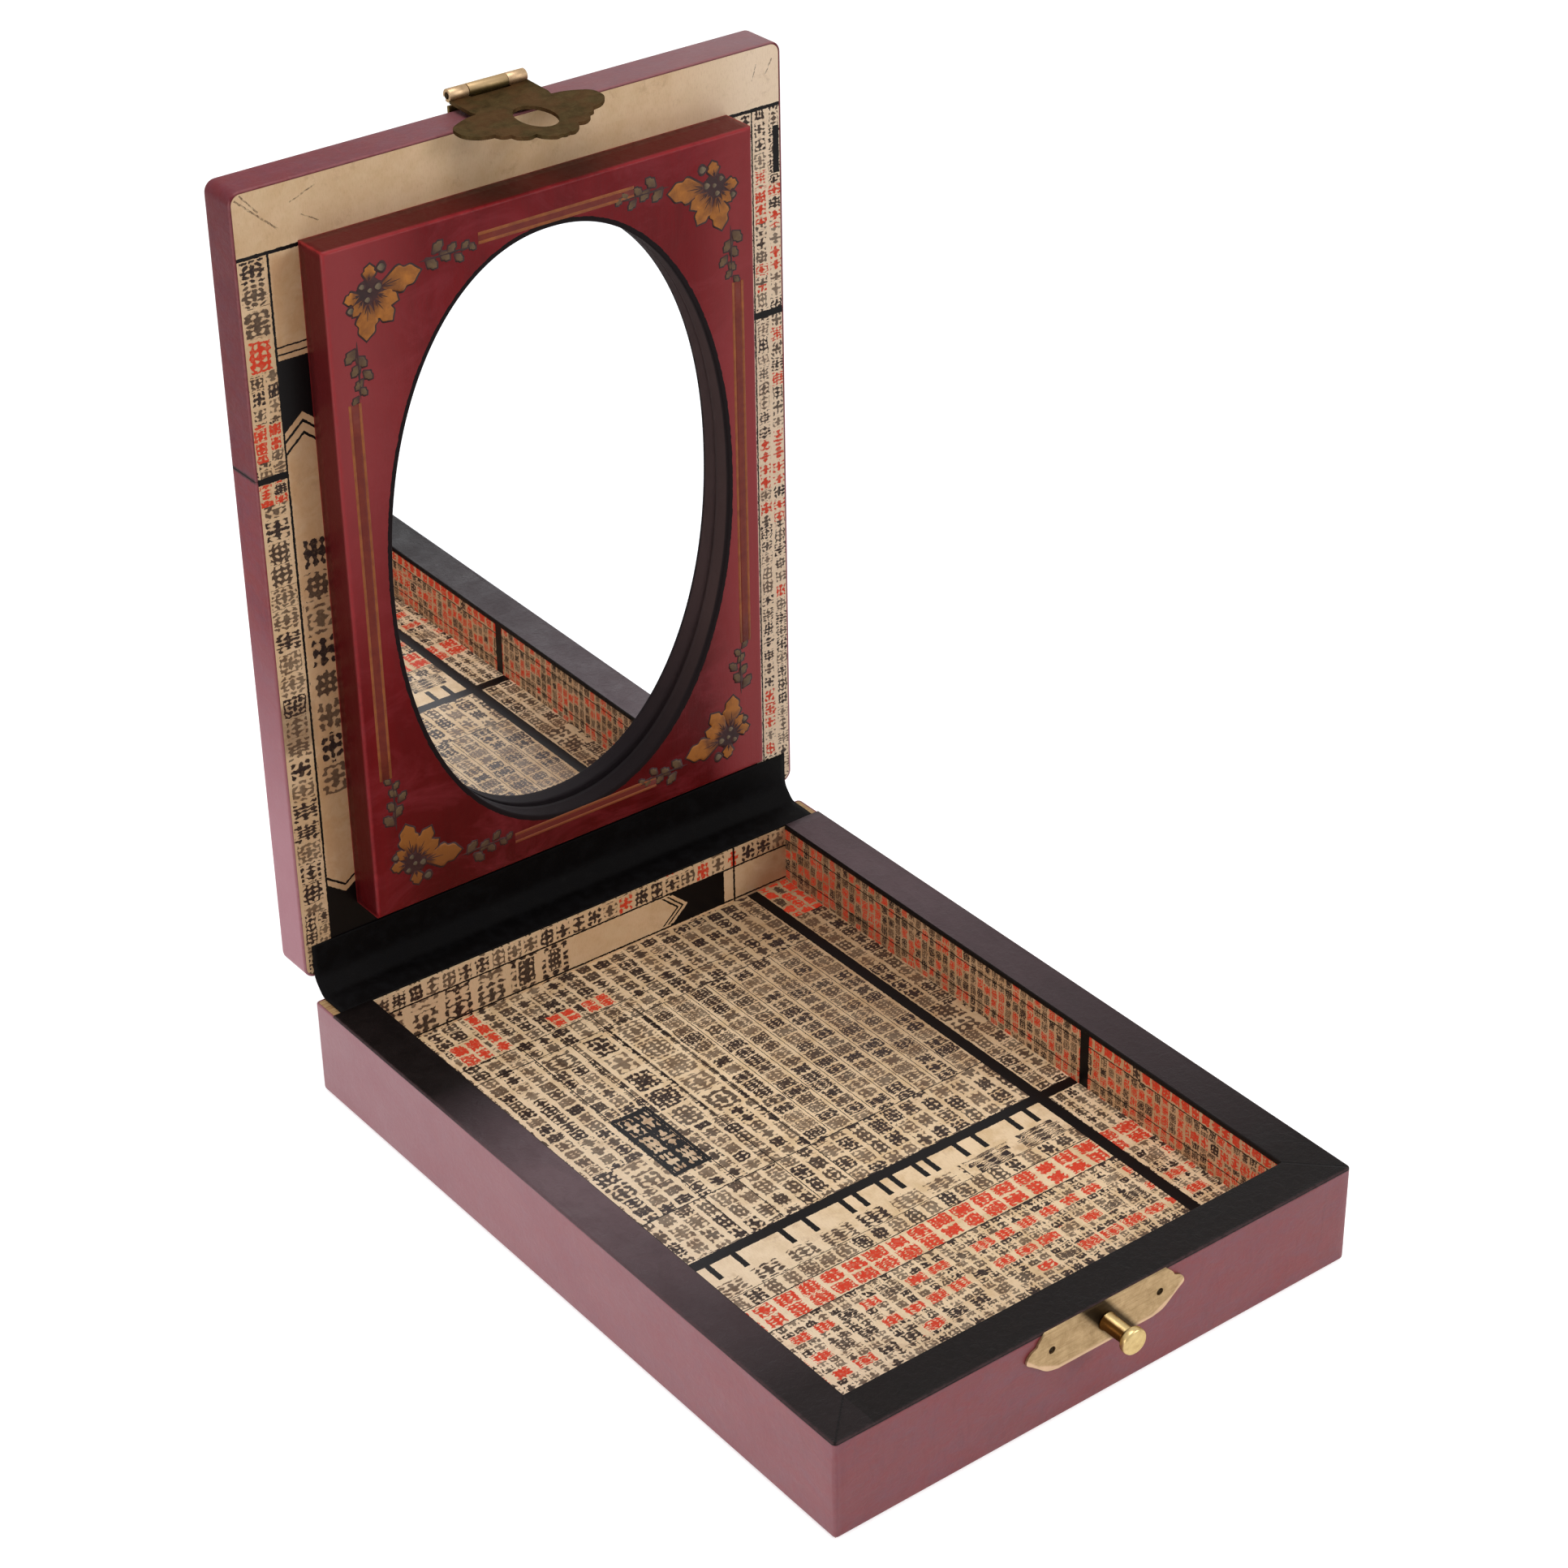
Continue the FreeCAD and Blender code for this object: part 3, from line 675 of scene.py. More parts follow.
def paper_material(
    name, u_axis, v_axis, foot=0.0, *, cell, weight, red, regions, rules, chevrons=(), blanks=(), plates=(),
    creases=(), tints=(), slide=0.0, pale=0.0,
):
    """Block-printed paper whose sheet axes u and v are two of the object's axes, 0 to 2, in millimetres.

    A region is (u0, u1, v0, v1, cell width, cell height, weight, share of red cells, detail of the strokes) and
    overrides the ones before it; where the detail is negative, its columns don't slide. Rules are black
    rectangles, blanks are bare ones, and plates are black with bare ornaments. A chevron is (axis, place along it,
    place across it, slope, from, to, half width, 1 for black or 0 for bare). A crease is (u, v, angle, length,
    half width): a broken dark line, painted shade along a fold. A tint is (u0, u1, v0, v1, softness, amount,
    colour): a patch with soft edges where the paper is lighter or darker; some tints are painted light and shade,
    some are stains. Pale lightens the whole sheet, as painted light.
    """
    f = values()
    w, place = new_material(name, Specular_IOR_Level=0.12)
    parts = place.split()
    u, v = parts[u_axis], parts[v_axis] - foot
    plain = w.join(u, v)
    wander = f.print_wander
    shift = (plain.noise(1.1, 3, 0.6, out="Color") - HALF) * (wander * 2, wander * 2, 0)
    point = plain + shift
    bend = (plain.noise(0.42, 2, 0.5, out="Color") - HALF) * (wander * 5, wander * 5, 0)

    def inside(u0, u1, v0, v1, at=point):
        return w.group(rectangle_group(), Point=at, Low=(u0, v0, 0), High=(u1, v1, 0))["Inside"]

    state = [(*cell, 1.0), ZERO, weight, red, 1.0, slide]
    for u0, u1, v0, v1, cell_u, cell_v, strength, share, detail in regions:
        here = inside(u0, u1, v0, v1)
        sliding = slide if detail > 0 else 0.0
        aims = [(cell_u, cell_v, 1.0), (u0, v0, 0.0), strength, share, abs(detail), sliding]
        kinds = ["VECTOR"] * 2 + ["FLOAT"] * 4
        state = [w.mix(here, old, new, kind) for old, new, kind in zip(state, aims, kinds)]
    size, corner, strength, share, detail, sliding = state
    cells = w.group(
        lattice_group(), Point=point + shift + bend - corner, Cell=size, Seed=corner, Weight=strength,
        Detail=detail, Slide=sliding,
    )
    ink, bleed, is_red = cells["Ink"], cells["Bleed"], cells["Chance"] < share
    for box in blanks:
        bare = 1.0 - inside(*box)
        ink, bleed = ink * bare, bleed * bare
    black, crimson, solid = ink * (1.0 - is_red), ink * is_red, 0.0
    for u0, u1, v0, v1 in plates:
        cut = 1.0 - ink * inside(u0 + 0.9, u1 - 0.9, v0 + 0.9, v1 - 0.9)
        here = inside(u0, u1, v0, v1)
        black, solid = w.mix(here, black, cut), w.mix(here, solid, cut)
    for box in rules:
        solid = w.most(solid, inside(*box))
    pu, pv, _ = point.split()
    for axis, along, across, slope, low, high, half, value in chevrons:
        ahead, aside = (pu, pv) if axis == "u" else (pv, pu)
        band = w.group(
            chevron_group(), Along=ahead - along, Across=aside - across, Slope=slope, From=low, To=high, Half_width=half
        )["Inside"]
        black, solid = w.mix(band, black, value), w.mix(band, solid, value)
    black = w.most(black, solid)
    patches = []
    for u0, u1, v0, v1, soft, patch, tone in tints:
        for axis, low, high in ((u, u0, u1), (v, v0, v1)):
            half = (high - low) / 2
            patch = patch * abs(axis - (low + high) / 2).span(half - soft, half + soft, 1.0, 0.0)
        patches.append((patch, tone))
    lines = []
    broken = plain.noise(0.7, 4, 0.7).span(0.38, 0.55)
    # creases: broken dark lines, painted shade along folds in the paper
    for u0, v0, angle, length, half in creases:
        c, s = math.cos(math.radians(angle)), math.sin(math.radians(angle))
        du, dv = pu - u0, pv - v0
        line = inside(0, length, -half, half, w.join(du * c + dv * s, dv * c - du * s))
        lines.append((line * broken * 0.75, (84, 56, 40)))
    clouds = plain.clouds(26.0)
    fibres = (plain * (3.5, 0.7, 1)).noise(1.0, 4, 0.7)
    mottle = plain.noise(0.17, 4, 0.65)
    fade = plain.noise(0.9, 5, 0.75).span(0.30, 0.5, 0.45, 1.0)
    faint = (fade * 0.5 + 0.48) * cells["Tone"].span(0.1, 0.7, 0.66, 1.0)
    base = w.coats(
        f.tan,
        (clouds["Clouds"] * (0.7 - 0.5 * pale), f.tan_dark),
        # pale: painted light, a lighter sheet on a surface that is lit more
        (pale, (252, 226, 188)),
        (mottle.span(0.44, 0.6, 0.0, 0.12 + 0.4 * pale), (202, 164, 106)),
        *patches,
        (fibres.span(0.5, 0.8, 0.0, 0.35), (176, 130, 84)),
        (clouds["Flecks"] * 0.22, (240, 216, 178)),
        (plain.noise(0.11, 6, 0.75, 0.3).span(0.58, 0.72, 0.0, 0.4), (158, 112, 74)),
        (bleed * mottle.span(0.4, 0.6, 0.2, 0.62), (146, 104, 76)),
        (crimson * fade, f.red_ink),
        (black * w.most(faint, solid), w.coats(f.ink, (solid, (13, 9, 9)))),
        *lines,
    )
    height = fibres - w.most(black, crimson) * 0.5
    return w.give(Base_Color=base, Roughness=w.mix(black, fibres * 0.12 + 0.42, 0.36), Normal=height.bump(0.25, 0.08))


FLOOR_LAYOUT = dict(
    # pale: the floor paper lightened as painted light
    cell=(5.1, 4.0), weight=0.53, red=0.0, slide=1.0, pale=0.72,
    tints=[
        (24, 120, 0, 140, 24, 0.75, (160, 124, 86)), (-34, 120, 78, 140, 16, 0.3, (160, 124, 86)),
        (-100, -28, -110, 48, 22, 0.5, (255, 238, 214)),
    ],
    regions=[
        (-1.9, 51, -1.2, 67.9, 6.6, 4.1, 0.57, 0.0, 1.6), (-64, 51, -19, -1.3, 5.1, 6.0, 0.52, 0.0, 1.3),
        (-52, -34.4, 9, 20, 7.8, 8.6, 0.42, 0.0, 1.5), (-34.3, -24.2, 11.2, 32.5, 3.3, 3.4, 0.5, 0.0, 1.0),
        (-34.3, -24.2, 60, 67.5, 9.0, 7.5, 0.46, 0.0, 1.4), (-22.8, -14, 22, 67, 8.9, 9.0, 0.5, 0.0, -1.75),
        (-12.6, -3.4, 22, 67, 9.2, 9.0, 0.5, 0.0, -1.75), (-49, -40.2, 75.6, 85.5, 4.3, 4.8, 0.75, 1.0, -1.0),
        (-39, -35, 75.6, 94, 3.9, 4.6, 0.75, 1.0, -1.0), (-22.6, -14.2, 75.8, 81.2, 4.2, 2.7, 0.8, 1.0, -1.0),
        (-12.2, -4, 75.8, 81.2, 4.1, 2.7, 0.8, 1.0, -1.0), (54.1, 64, -19, 95, 4.9, 4.6, 0.56, 0.0, 1.2),
        (54.1, 64, 78, 94, 3.3, 4.0, 0.65, 0.85, 1.0), (54.1, 64, 11, 23, 8.0, 9.0, 0.36, 0.0, 1.3),
        (-34.0, -25.0, 9.6, 34.8, 4.5, 8.4, 0.36, 0.0, -1.2), (-64, 64, -92, -22.5, 3.3, 3.65, 0.45, 0.0, -1.0),
        (-64, 51, -29.2, -22.5, 7.0, 6.5, 0.0, 0.0, -1.0), (-64, 20, -35, -29.2, 10.2, 5.6, 0.34, 0.0, -1.5),
        (20, 51, -35, -29.2, 15.4, 1.5, 0.34, 0.0, -1.0), (-64, 51, -40.4, -35, 5.1, 5.3, 0.5, 0.04, -1.3),
        (-64, 64, -49.6, -40.6, 6.4, 4.5, 0.66, 1.0, -1.5), (-64, 64, -57.2, -54, 6.6, 3.2, 0.58, 0.55, -1.5),
        (-64, 64, -64.8, -61.6, 6.6, 3.2, 0.58, 0.6, -1.5), (-64, 64, -72, -68.6, 6.6, 3.4, 0.58, 0.6, -1.5),
        (-64, 64, -80, -76.6, 6.6, 3.4, 0.58, 0.5, -1.5),
    ],
    plates=[(-35.0, -24.0, 8.8, 35.6)],
    rules=[
        (-64, 64, -22.5, -19.4), (50.8, 54.1, -92, 95),
        *[(-64, 51, v, v + 0.3) for v in (-1.5, -40.6, -49.9)],
        *[(-64, 51, v, v + 0.25) for v in (67.9, 74.9)],
        (-64, 51, -35.2, -35.0),
        *[(u, u + 0.25, -19, 74) for u in (-34.55, -24.2, -13.2, -2.6)],
        *[
            (u, u + 1.5, -28.2, -22)
            for u in (-57.6, -49.6, -42.2, -28.6, -21.8, -11, -6.9, 0, 3.8, 11, 14.4, 23.5, 29.2, 40, 45.4)
        ],
        *[(u, u + 0.2, 0, 68) for u in (4.7, 11.3, 17.9, 24.5, 31.1, 37.7, 44.3)],
    ],
)

WALL_LAYOUT = dict(
    cell=(2.5, 2.8), weight=0.62, red=0.42, slide=0.5,
    tints=[(-200, 200, -60, 100, 1, 0.4, (176, 126, 86)), (40, 140, -60, 100, 30, 0.6, (128, 88, 56))],
    regions=[
        (-200, 200, -60, 100, 2.7, 3.0, 0.56, 0.42, 1.6), (-92, -25.8, 22.6, 26.4, 3.4, 3.7, 0.62, 0.9, -1.0),
        (-92, -60, 16, 19.4, 3.4, 3.3, 0.56, 0.75, -1.0),
    ],
    rules=[(-25.8, -22.7, 0, 30), (-92, 95, 22.3, 22.6), (-92, 95, 13.2, 13.5)],
)

BACK_LAYOUT = dict(
    # pale: the back wall paper lightened a little, as painted light
    cell=(4.9, 5.2), weight=0.35, red=0.06, pale=0.12,
    tints=[(50, 90, -60, 100, 6, 0.55, (150, 106, 70)), (-100, -16, -60, 100, 12, 0.3, (255, 238, 206))],
    regions=[
        (-64, 65, 9, 20.5, 9.8, 8.6, 0.3, 0.0, 1.3), (-22, -15.6, 11.9, 19.9, 6.4, 8.0, 0.72, 0.0, -1.5),
        (-13, -7.6, 12.6, 19.4, 5.4, 6.8, 0.6, 0.0, -1.5),
    ],
    blanks=[(-6.0, 64, 9, 20.5)],
    rules=[(-64, 64, 20.5, 21.0), (-64, 64, 10.6, 11.1), (26, 43.4, 11, 20.5), (46.4, 47.0, 10, 26.4)],
    chevrons=[
        ("u", 31.6, 15.8, -1.1, -12, 0, 4.3, 0.0), ("u", 30.0, 15.8, -1.1, -0.35, 0.35, 4.3, 1.0),
        ("u", 28.4, 15.8, -1.1, -0.35, 0.35, 4.3, 1.0),
    ],
)

LID_LAYOUT = dict(
    # pale: the lid paper lightened a little, as painted light
    cell=(3.9, 3.8), weight=0.4, red=0.0, slide=0.6, pale=0.18,
    tints=[
        # painted light on the paper right of the mirror frame; painted shade of the frame on the strip beside its left
        # side
        (54, 110, -60, 300, 12, 0.9, (255, 230, 202)), (-66.6, -50, 5, 188, 1.0, 0.55, (196, 142, 94)),
        (-76, -66.4, -10, 58, 8, 0.35, (160, 112, 70)), (-76, -66.4, 64, 77, 1.5, 0.6, (104, 70, 48)),
    ],
    creases=[
        (-73.6, 203.2, -42, 13.5, 0.22), (-72.2, 204, -50, 6.5, 0.18), (66.5, 196.5, 72, 5.0, 0.16),
        (70.5, 197.5, 60, 4.0, 0.15), (-60, 199.5, 20, 7.0, 0.16), (-57.5, 196.0, -30, 5.0, 0.15),
    ],
    regions=[
        (-66.0, -57.4, 48.5, 118, 8.6, 8.7, 0.34, 0.0, -1.25),
        *[
            (-74.6, -66.7, *row)
            for row in (
                (18, 128, 7.9, 5.8, 0.39, 0.0, 1.5), (177.5, 189, 7.6, 5.7, 0.4, 0.0, -1.3),
                (169.5, 177.3, 7.8, 7.8, 0.52, 0.0, -1.6), (161.7, 169.5, 7.8, 7.8, 0.5, 1.0, -1.6),
                (140, 149.5, 3.8, 3.2, 0.6, 0.6, 1.0), (129, 134.5, 3.8, 2.7, 0.6, 0.8, 1.0),
            )
        ],
        *[
            (66.4, 75, *row)
            for row in (
                (0, 189, 4.2, 4.0, 0.26, 0.12, 1.2), (160, 169.5, 4.2, 3.4, 0.36, 0.9, 1.0),
                (144, 158, 4.2, 3.4, 0.3, 0.45, 1.0), (78, 102, 4.2, 3.6, 0.3, 0.75, 1.0),
            )
        ],
    ],
    blanks=[(-75, 75, 189, 206), (-66.2, -56, 118, 189), (-66.2, -56, 20, 48.5), (-58.8, 58.8, 17, 189)],
    rules=[
        (-75, 75, 188.9, 189.8), (-67.0, -66.4, 5, 189), (-66.4, -56, 166.2, 166.6), (-66.4, -56, 164.4, 164.8),
        (-66.4, -56, 141, 163.2), (-66.4, -56, 5, 24.5), (-59, 64, 5, 17.2), (-75, -56, 134.6, 136.3),
        (62, 75, 135.2, 137.0), (66.0, 66.4, 5, 189), (72.4, 74.2, 172, 184),
    ],
    chevrons=[
        ("v", 149.6, -61.6, -0.85, -16, 0, 4.9, 0.0), ("v", 147.4, -61.6, -0.85, -0.4, 0.4, 4.9, 1.0),
        ("v", 144.4, -61.6, -0.85, -0.4, 0.4, 4.9, 1.0), ("v", 20.6, -61.6, 0.7, 0, 12, 4.9, 0.0),
        ("v", 22.6, -61.6, 0.7, -0.35, 0.35, 4.9, 1.0),
    ],
)


@cached
def lacquer_material():
    """Crimson lacquer, brushed darker in streaks, with a black line round the oval and a black oval wall."""
    f = values()
    w, point = new_material("frame_lacquer", Specular_IOR_Level=0.12)
    x, y, z = point.split()
    clouds = point.clouds(18.0, (1.6, 1, 0.6))
    streaks = (point * (1.4, 1.0, 0.12)).noise(1.0, 5, 0.7, 0.3)
    haze = (point * (0.7, 1, 1.5)).noise(0.06, 5, 0.7, 0.8)
    # low: painted shade, darker towards the bottom in the middle of the frame
    low = z.span(LID_FOOT + 16, LID_FOOT + 100, 0.7, 0.0) * abs(x).span(42, 56, 1.0, 0.1)
    # left and right: painted highlight, a pinkish light on the upper left and down the right
    left = z.span(105, 165, 0.0, 0.85) * x.span(-32, -53)
    right = z.span(130, 225, 0.85, 0.5) * x.span(41, 53)
    # side: the faces below the front face, that is the outer sides and the oval wall
    side = (LID_PLANE - y).span(8.7, 9.4, 1.0, 0.0)
    half = (FRAME_HALF_WIDTH, FRAME_THICKNESS / 2, FRAME_HALF_HEIGHT)
    # rubbed edges in a lighter crimson, which also stand in for a painted highlight along the edges
    wear = point.wear((0, LID_PLANE - half[1], LID_FOOT + FRAME_MIDDLE), half, 1.3, 0.8)
    dark = w.attribute("along") + point.noise(0.5, 3, 0.6) * -0.7 < 0.95
    # lit: painted light on the right of the oval wall, weaker at its bottom
    lit = x.span(18, 46, 0.0, 0.7) * z.span(60, 96, 0.2, 1.0)
    base = w.coats(
        f.lacquer,
        (clouds["Clouds"] * 0.6, f.lacquer_dark),
        (streaks.span(0.5, 0.75, 0.0, 0.35), (92, 34, 34)),
        (low, (62, 4, 4)),
        (haze.span(0.48, 0.7, 0.0, 0.5), (140, 48, 56)),
        (left + right, (152, 62, 64)),
        # painted shade on the sides
        (side * 0.8, (60, 4, 4)),
        (wear, (160, 44, 46)),
        (dark, (20, 11, 13)),
        (dark * side * lit, (70, 52, 50)),
    )
    rough = w.mix(dark, clouds["Flecks"] * 0.12 + 0.3, 0.75)
    return w.give(Base_Color=base, Roughness=rough, Normal=(streaks + clouds["Pores"]).bump(0.3, 0.12))


@cached
def painted_material(kind):
    """Hand-laid paint: gold for petals and stripes, grey-olive for leaves, near black for outlines."""
    light, dark, rough = {
        "gold": (values().gold, (92, 48, 26), 0.45),
        "stripe": ((158, 92, 46), (112, 48, 34), 0.5),
        "wash": ((120, 46, 32), (92, 24, 24), 0.5),
        "leaf": ((112, 88, 60), (70, 46, 36), 0.5),
        "bead": ((136, 116, 92), (66, 56, 44), 0.5),
        "line": ((38, 22, 22), (62, 30, 30), 0.5),
    }[kind]
    w, point = new_material("paint_" + kind, Specular_IOR_Level=0.25)
    clouds = point.clouds(3.2)
    x, _, z = point.split()
    # low: painted shade, the paint darker towards the bottom of the frame and most on the left
    low = z.span(52, 96, 0.75, 0.0) * x.span(-20, 40, 1.0, 0.45)
    shade = (clouds["Clouds"] * 0.62 + w.attribute("along").span(0.0, 0.55, 0.7, 0.0)).clamped()
    return w.give(
        Base_Color=w.coats(light, (w.most(shade, low), dark)),
        Roughness=clouds["Flecks"] * 0.12 + rough,
        Normal=clouds["Pores"].bump(0.3, 0.05),
    )


@cached
def metal_material(kind):
    """Brass fittings: pale catch brass, dark hasp brass, worn knuckles and plain hinge brass."""
    f = values()
    bright, dull, tarnish, rough = {
        "catch": (f.brass, (140, 116, 82), 0.6, 0.34),
        "post": ((216, 192, 138), (124, 88, 40), 0.45, 0.2),
        "hasp": (f.bronze, (44, 33, 18), 0.7, 0.42),
        "leaf": ((122, 104, 66), (62, 50, 30), 0.6, 0.36),
        "knuckle": ((212, 182, 146), (112, 86, 58), 0.5, 0.32),
        "hinge": ((176, 142, 82), (92, 70, 40), 0.55, 0.34),
        "pin": ((70, 58, 42), (28, 22, 18), 0.7, 0.4),
    }[kind]
    w, point = new_material("brass_" + kind, Metallic=1.0, Specular_Tint=(0.86, 0.76, 0.62, 1.0))
    made = w.group(patina_group(), Point=point, Bright=bright, Dull=dull, Tarnish=tarnish, Roughness=rough)
    x, y, z = point.split()
    layers = []
    if kind == "catch":
        far = abs(x)
        rise = w.most(w.most(far * 0.48 - 6.6, far * 0.94 - 15.6), 0.0)
        # painted shadow and reflection of the post: a dark slanting band through its foot
        shadow_band_offset = x * 0.78 + (z * 0.62 - 13.9)
        layers = [
            ((point * (0.12, 1.0, 2.2)).noise(1.0, 4, 0.7, 0.3).span(0.45, 0.75, 0.0, 0.55), (122, 96, 68)),
            # painted highlight along the plate's lower edges
            ((z - 15.3 - rise).span(0.5, 1.0, 0.6, 0.0), (212, 180, 152)),
            ((abs(shadow_band_offset) + made["Height"] * 1.2).span(2.9, 4.1, 0.92, 0.0), (28, 18, 12)),
        ]
    elif kind == "leaf":
        # painted highlight on the top of the leaf's knuckle
        layers = [(z.span(239.3, 240.5, 0.0, 0.75), (190, 162, 124))]
    elif kind == "hasp":
        layers = [(w.join(x, y, 0.0).noise(0.13, 3, 0.6).span(0.42, 0.6, 0.0, 0.6), (84, 56, 36))]
    elif kind == "post":
        # worn: painted shade and reflection down the shaft's sides, darkest on the left
        worn = w.most(x.span(-1.2, -0.2, 1.0, 0.0), x.span(0.9, 1.6, 0.0, 0.6))
        layers = [
            (y.span(-110.9, -110.5) * worn, (72, 44, 16)),
            (w.math("COMPARE", y, -110.45, 0.35) * 0.8, (60, 38, 16)),
        ]
    return w.give(
        Base_Color=w.coats(made["Color"], *layers), Roughness=made["Roughness"], Normal=made["Height"].bump(0.2, 0.05)
    )


@cached
def mirror_material():
    """Silvered glass, very slightly uneven, with faint dusty clouds all over."""
    w, point = new_material("mirror_silver", Metallic=1.0)
    haze = point.noise(0.05, 4, 0.6)
    base = w.coats((246, 247, 250), (haze.span(0.4, 0.8), (240, 242, 246)))
    return w.give(Base_Color=base, Roughness=haze.span(0.4, 0.9, 0.004, 0.02))


@cached
def board_material(kind):
    """Hidden boards: wood grain for the case, greyboard for the mirror's back, felt under the case."""
    light, dark, stretch, rough = {
        "wood": ((196, 160, 112), (150, 108, 66), (0.15, 2.2, 2.2), 0.6),
        "card": ((150, 138, 118), (112, 100, 84), (1.2, 1.2, 1.2), 0.85),
        "felt": ((74, 20, 28), (46, 12, 18), (2.4, 2.4, 2.4), 0.95),
    }[kind]
    w, point = new_material("board_" + kind, Sheen_Weight=0.4 if kind == "felt" else 0.0)
    grain = (point * stretch).noise(0.8, 5, 0.7, 0.5)
    base = w.coats(light, (grain.span(0.35, 0.7), dark))
    return w.give(Base_Color=base, Roughness=grain * 0.1 + (rough - 0.05), Normal=grain.bump(0.5, 0.2))


# ---- Pieces


class CASE_OT_covering(bpy.types.Operator):
    """Covering round the base: a rounded-rectangle outline carried down a profile with a turned-under foot."""

    bl_idname = "case.covering"
    bl_label = "Base covering"

    def execute(self, context):
        foot, radius = 0.3, 1.2
        rings = [(COVERING, WALL_TOP), (0.15, WALL_TOP), (0.0, WALL_TOP - 0.15)]
        rings += [(0.0, z) for z in np.linspace(WALL_TOP - 0.4, foot + radius, 9)]
        rings += [(inset, foot + drop) for inset, drop in quarter(radius)[1:]]
        rings += [(1.55, foot), (1.6, foot + 0.15), (COVERING, foot + 0.19), (COVERING, 1.5)]
        stack = [lift(rounded_outline(HALF_WIDTH, HALF_DEPTH, radius, inset, 6, 60), z) for inset, z in rings]
        points, faces = stacked_rings(stack, loop=True)
        sway = 0.05 * (np.sin(points[:, 0] * 0.21 + 1) * np.sin(points[:, 1] * 0.17) * np.sin(points[:, 2] * 0.3) - 1)
        for axis, half in ((0, HALF_WIDTH), (1, HALF_DEPTH)):
            face = np.abs(points[:, axis]) > half - 0.05
            points[face, axis] += np.sign(points[face, axis]) * sway[face]
        finish(add_piece("case_covering", points, faces), "base", covering_material("base"), "base_wrap")
        return {"FINISHED"}


class CASE_OT_rim(bpy.types.Operator):
    """Black covering of the front and side rims: an outer and an inner U-shaped line joined by a rounded profile."""

    bl_idname = "case.rim"
    bl_label = "Rim covering"

    @staticmethod
    def u_line(half_x, front, radius, height, run=70):
        """Line down one side, round a corner, across the front and back up the other side."""
        side = np.linspace(0, 1, run)
        turn = np.linspace(0, np.pi / 2, 8)[1:-1]
        left = np.column_stack([np.full(run, -half_x), TRAY_BACK + (front + radius - TRAY_BACK) * side])
        arc = np.column_stack([radius - half_x - radius * np.cos(turn), front + radius - radius * np.sin(turn)])
        ahead = np.column_stack([(radius - half_x) * (1 - 2 * side), np.full(run, front)])
        half = np.concatenate([left, arc])
        return lift(np.concatenate([half, ahead, half[::-1] * (-1, 1)]), height)

    def execute(self, context):
        radius, sharp = 1.2, 0.01
        outer = [(i, BASE_HEIGHT - d) for i, d in [(0.0, 0.6), *quarter(0.5, 6)]]
        inner = [(i, BASE_HEIGHT - d) for i, d in quarter(0.35, 4)[::-1]]
        inner += [(-0.12, 25.7), (0.02, 25.6), (0.02, WALL_TOP)]
        lines = [self.u_line(HALF_WIDTH - i, i - HALF_DEPTH, radius - i * 0.9, z) for i, z in outer]
        for share in (0.15, 0.4, 0.7, 0.9):
            x = HALF_WIDTH + (TRAY_SIDE - HALF_WIDTH) * share
            front = -HALF_DEPTH + (TRAY_FRONT + HALF_DEPTH) * share
            lines.append(self.u_line(x, front, radius * (1 - share) + sharp, BASE_HEIGHT))
        for inset, z in inner:
            drop = min(inset, 0.35)
            lines.append(self.u_line(TRAY_SIDE + drop, TRAY_FRONT - drop, sharp, z))
        points, count = np.concatenate(lines), len(lines[0])
        faces = quads_between(len(lines), count, wrap_u=True).tolist()
        faces += [[k * count + end for k in range(len(lines))] for end in (0, count - 1)]
        top = points[:, 2] > BASE_HEIGHT - 0.01
        points[top, 2] -= 0.03 * (1 + np.sin(points[top, 0] * 0.23) * np.sin(points[top, 1] * 0.19 + 2))
        finish(add_piece("rim_covering", points, faces), "base", rim_material(), "rim_trim")
        return {"FINISHED"}


class CASE_OT_hinge_cloth(bpy.types.Operator):
    """Book cloth over the back rim, through the hinge gap and up the lid: one line in Y and Z carried along X."""

    bl_idname = "case.hinge_cloth"
    bl_label = "Hinge cloth"

    def execute(self, context):
        line = [(94.15, 26.72), (97, 26.88), (101.8, 26.9), (102.6, 27.25), (104.0, 28.75), (105.1, 30.1)]
        line += [(105.55, 31.2), (105.72, 32.4), (105.76, 36), (105.78, 39.4), (105.82, 39.95)]
        line = np.array(line)
        gaps = np.concatenate([[0], np.cumsum(np.linalg.norm(np.diff(line, axis=0), axis=1))])
        steps = np.linspace(0, gaps[-1], 60)
        path = np.column_stack([np.interp(steps, gaps, line[:, k]) for k in (0, 1)])
        for _ in range(3):
            path[1:-1] = (path[:-2] + 2 * path[1:-1] + path[2:]) / 4
        x = np.linspace(-72.6, 72.6, 97)[:, None]
        ease = np.sin(x * 0.19) * 0.03 + np.sin(x * 0.07 + 1) * 0.04
        bend = np.exp(-(((np.arange(len(path)) - 27) / 9.0) ** 2))
        grid = np.stack(np.broadcast_arrays(x, path[:, 0] - ease * bend, path[:, 1] + ease * bend), -1)
        piece = add_piece("hinge_cloth_sheet", grid, quads_between(*grid.shape[:2]))
        wall = piece.modifiers.new("Cloth thickness", "SOLIDIFY")
        wall.thickness = 0.36 * MM
        wall.offset = 0.0
        finish(piece, None, cloth_material(), "hinge_cloth")
        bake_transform(piece)
        return {"FINISHED"}


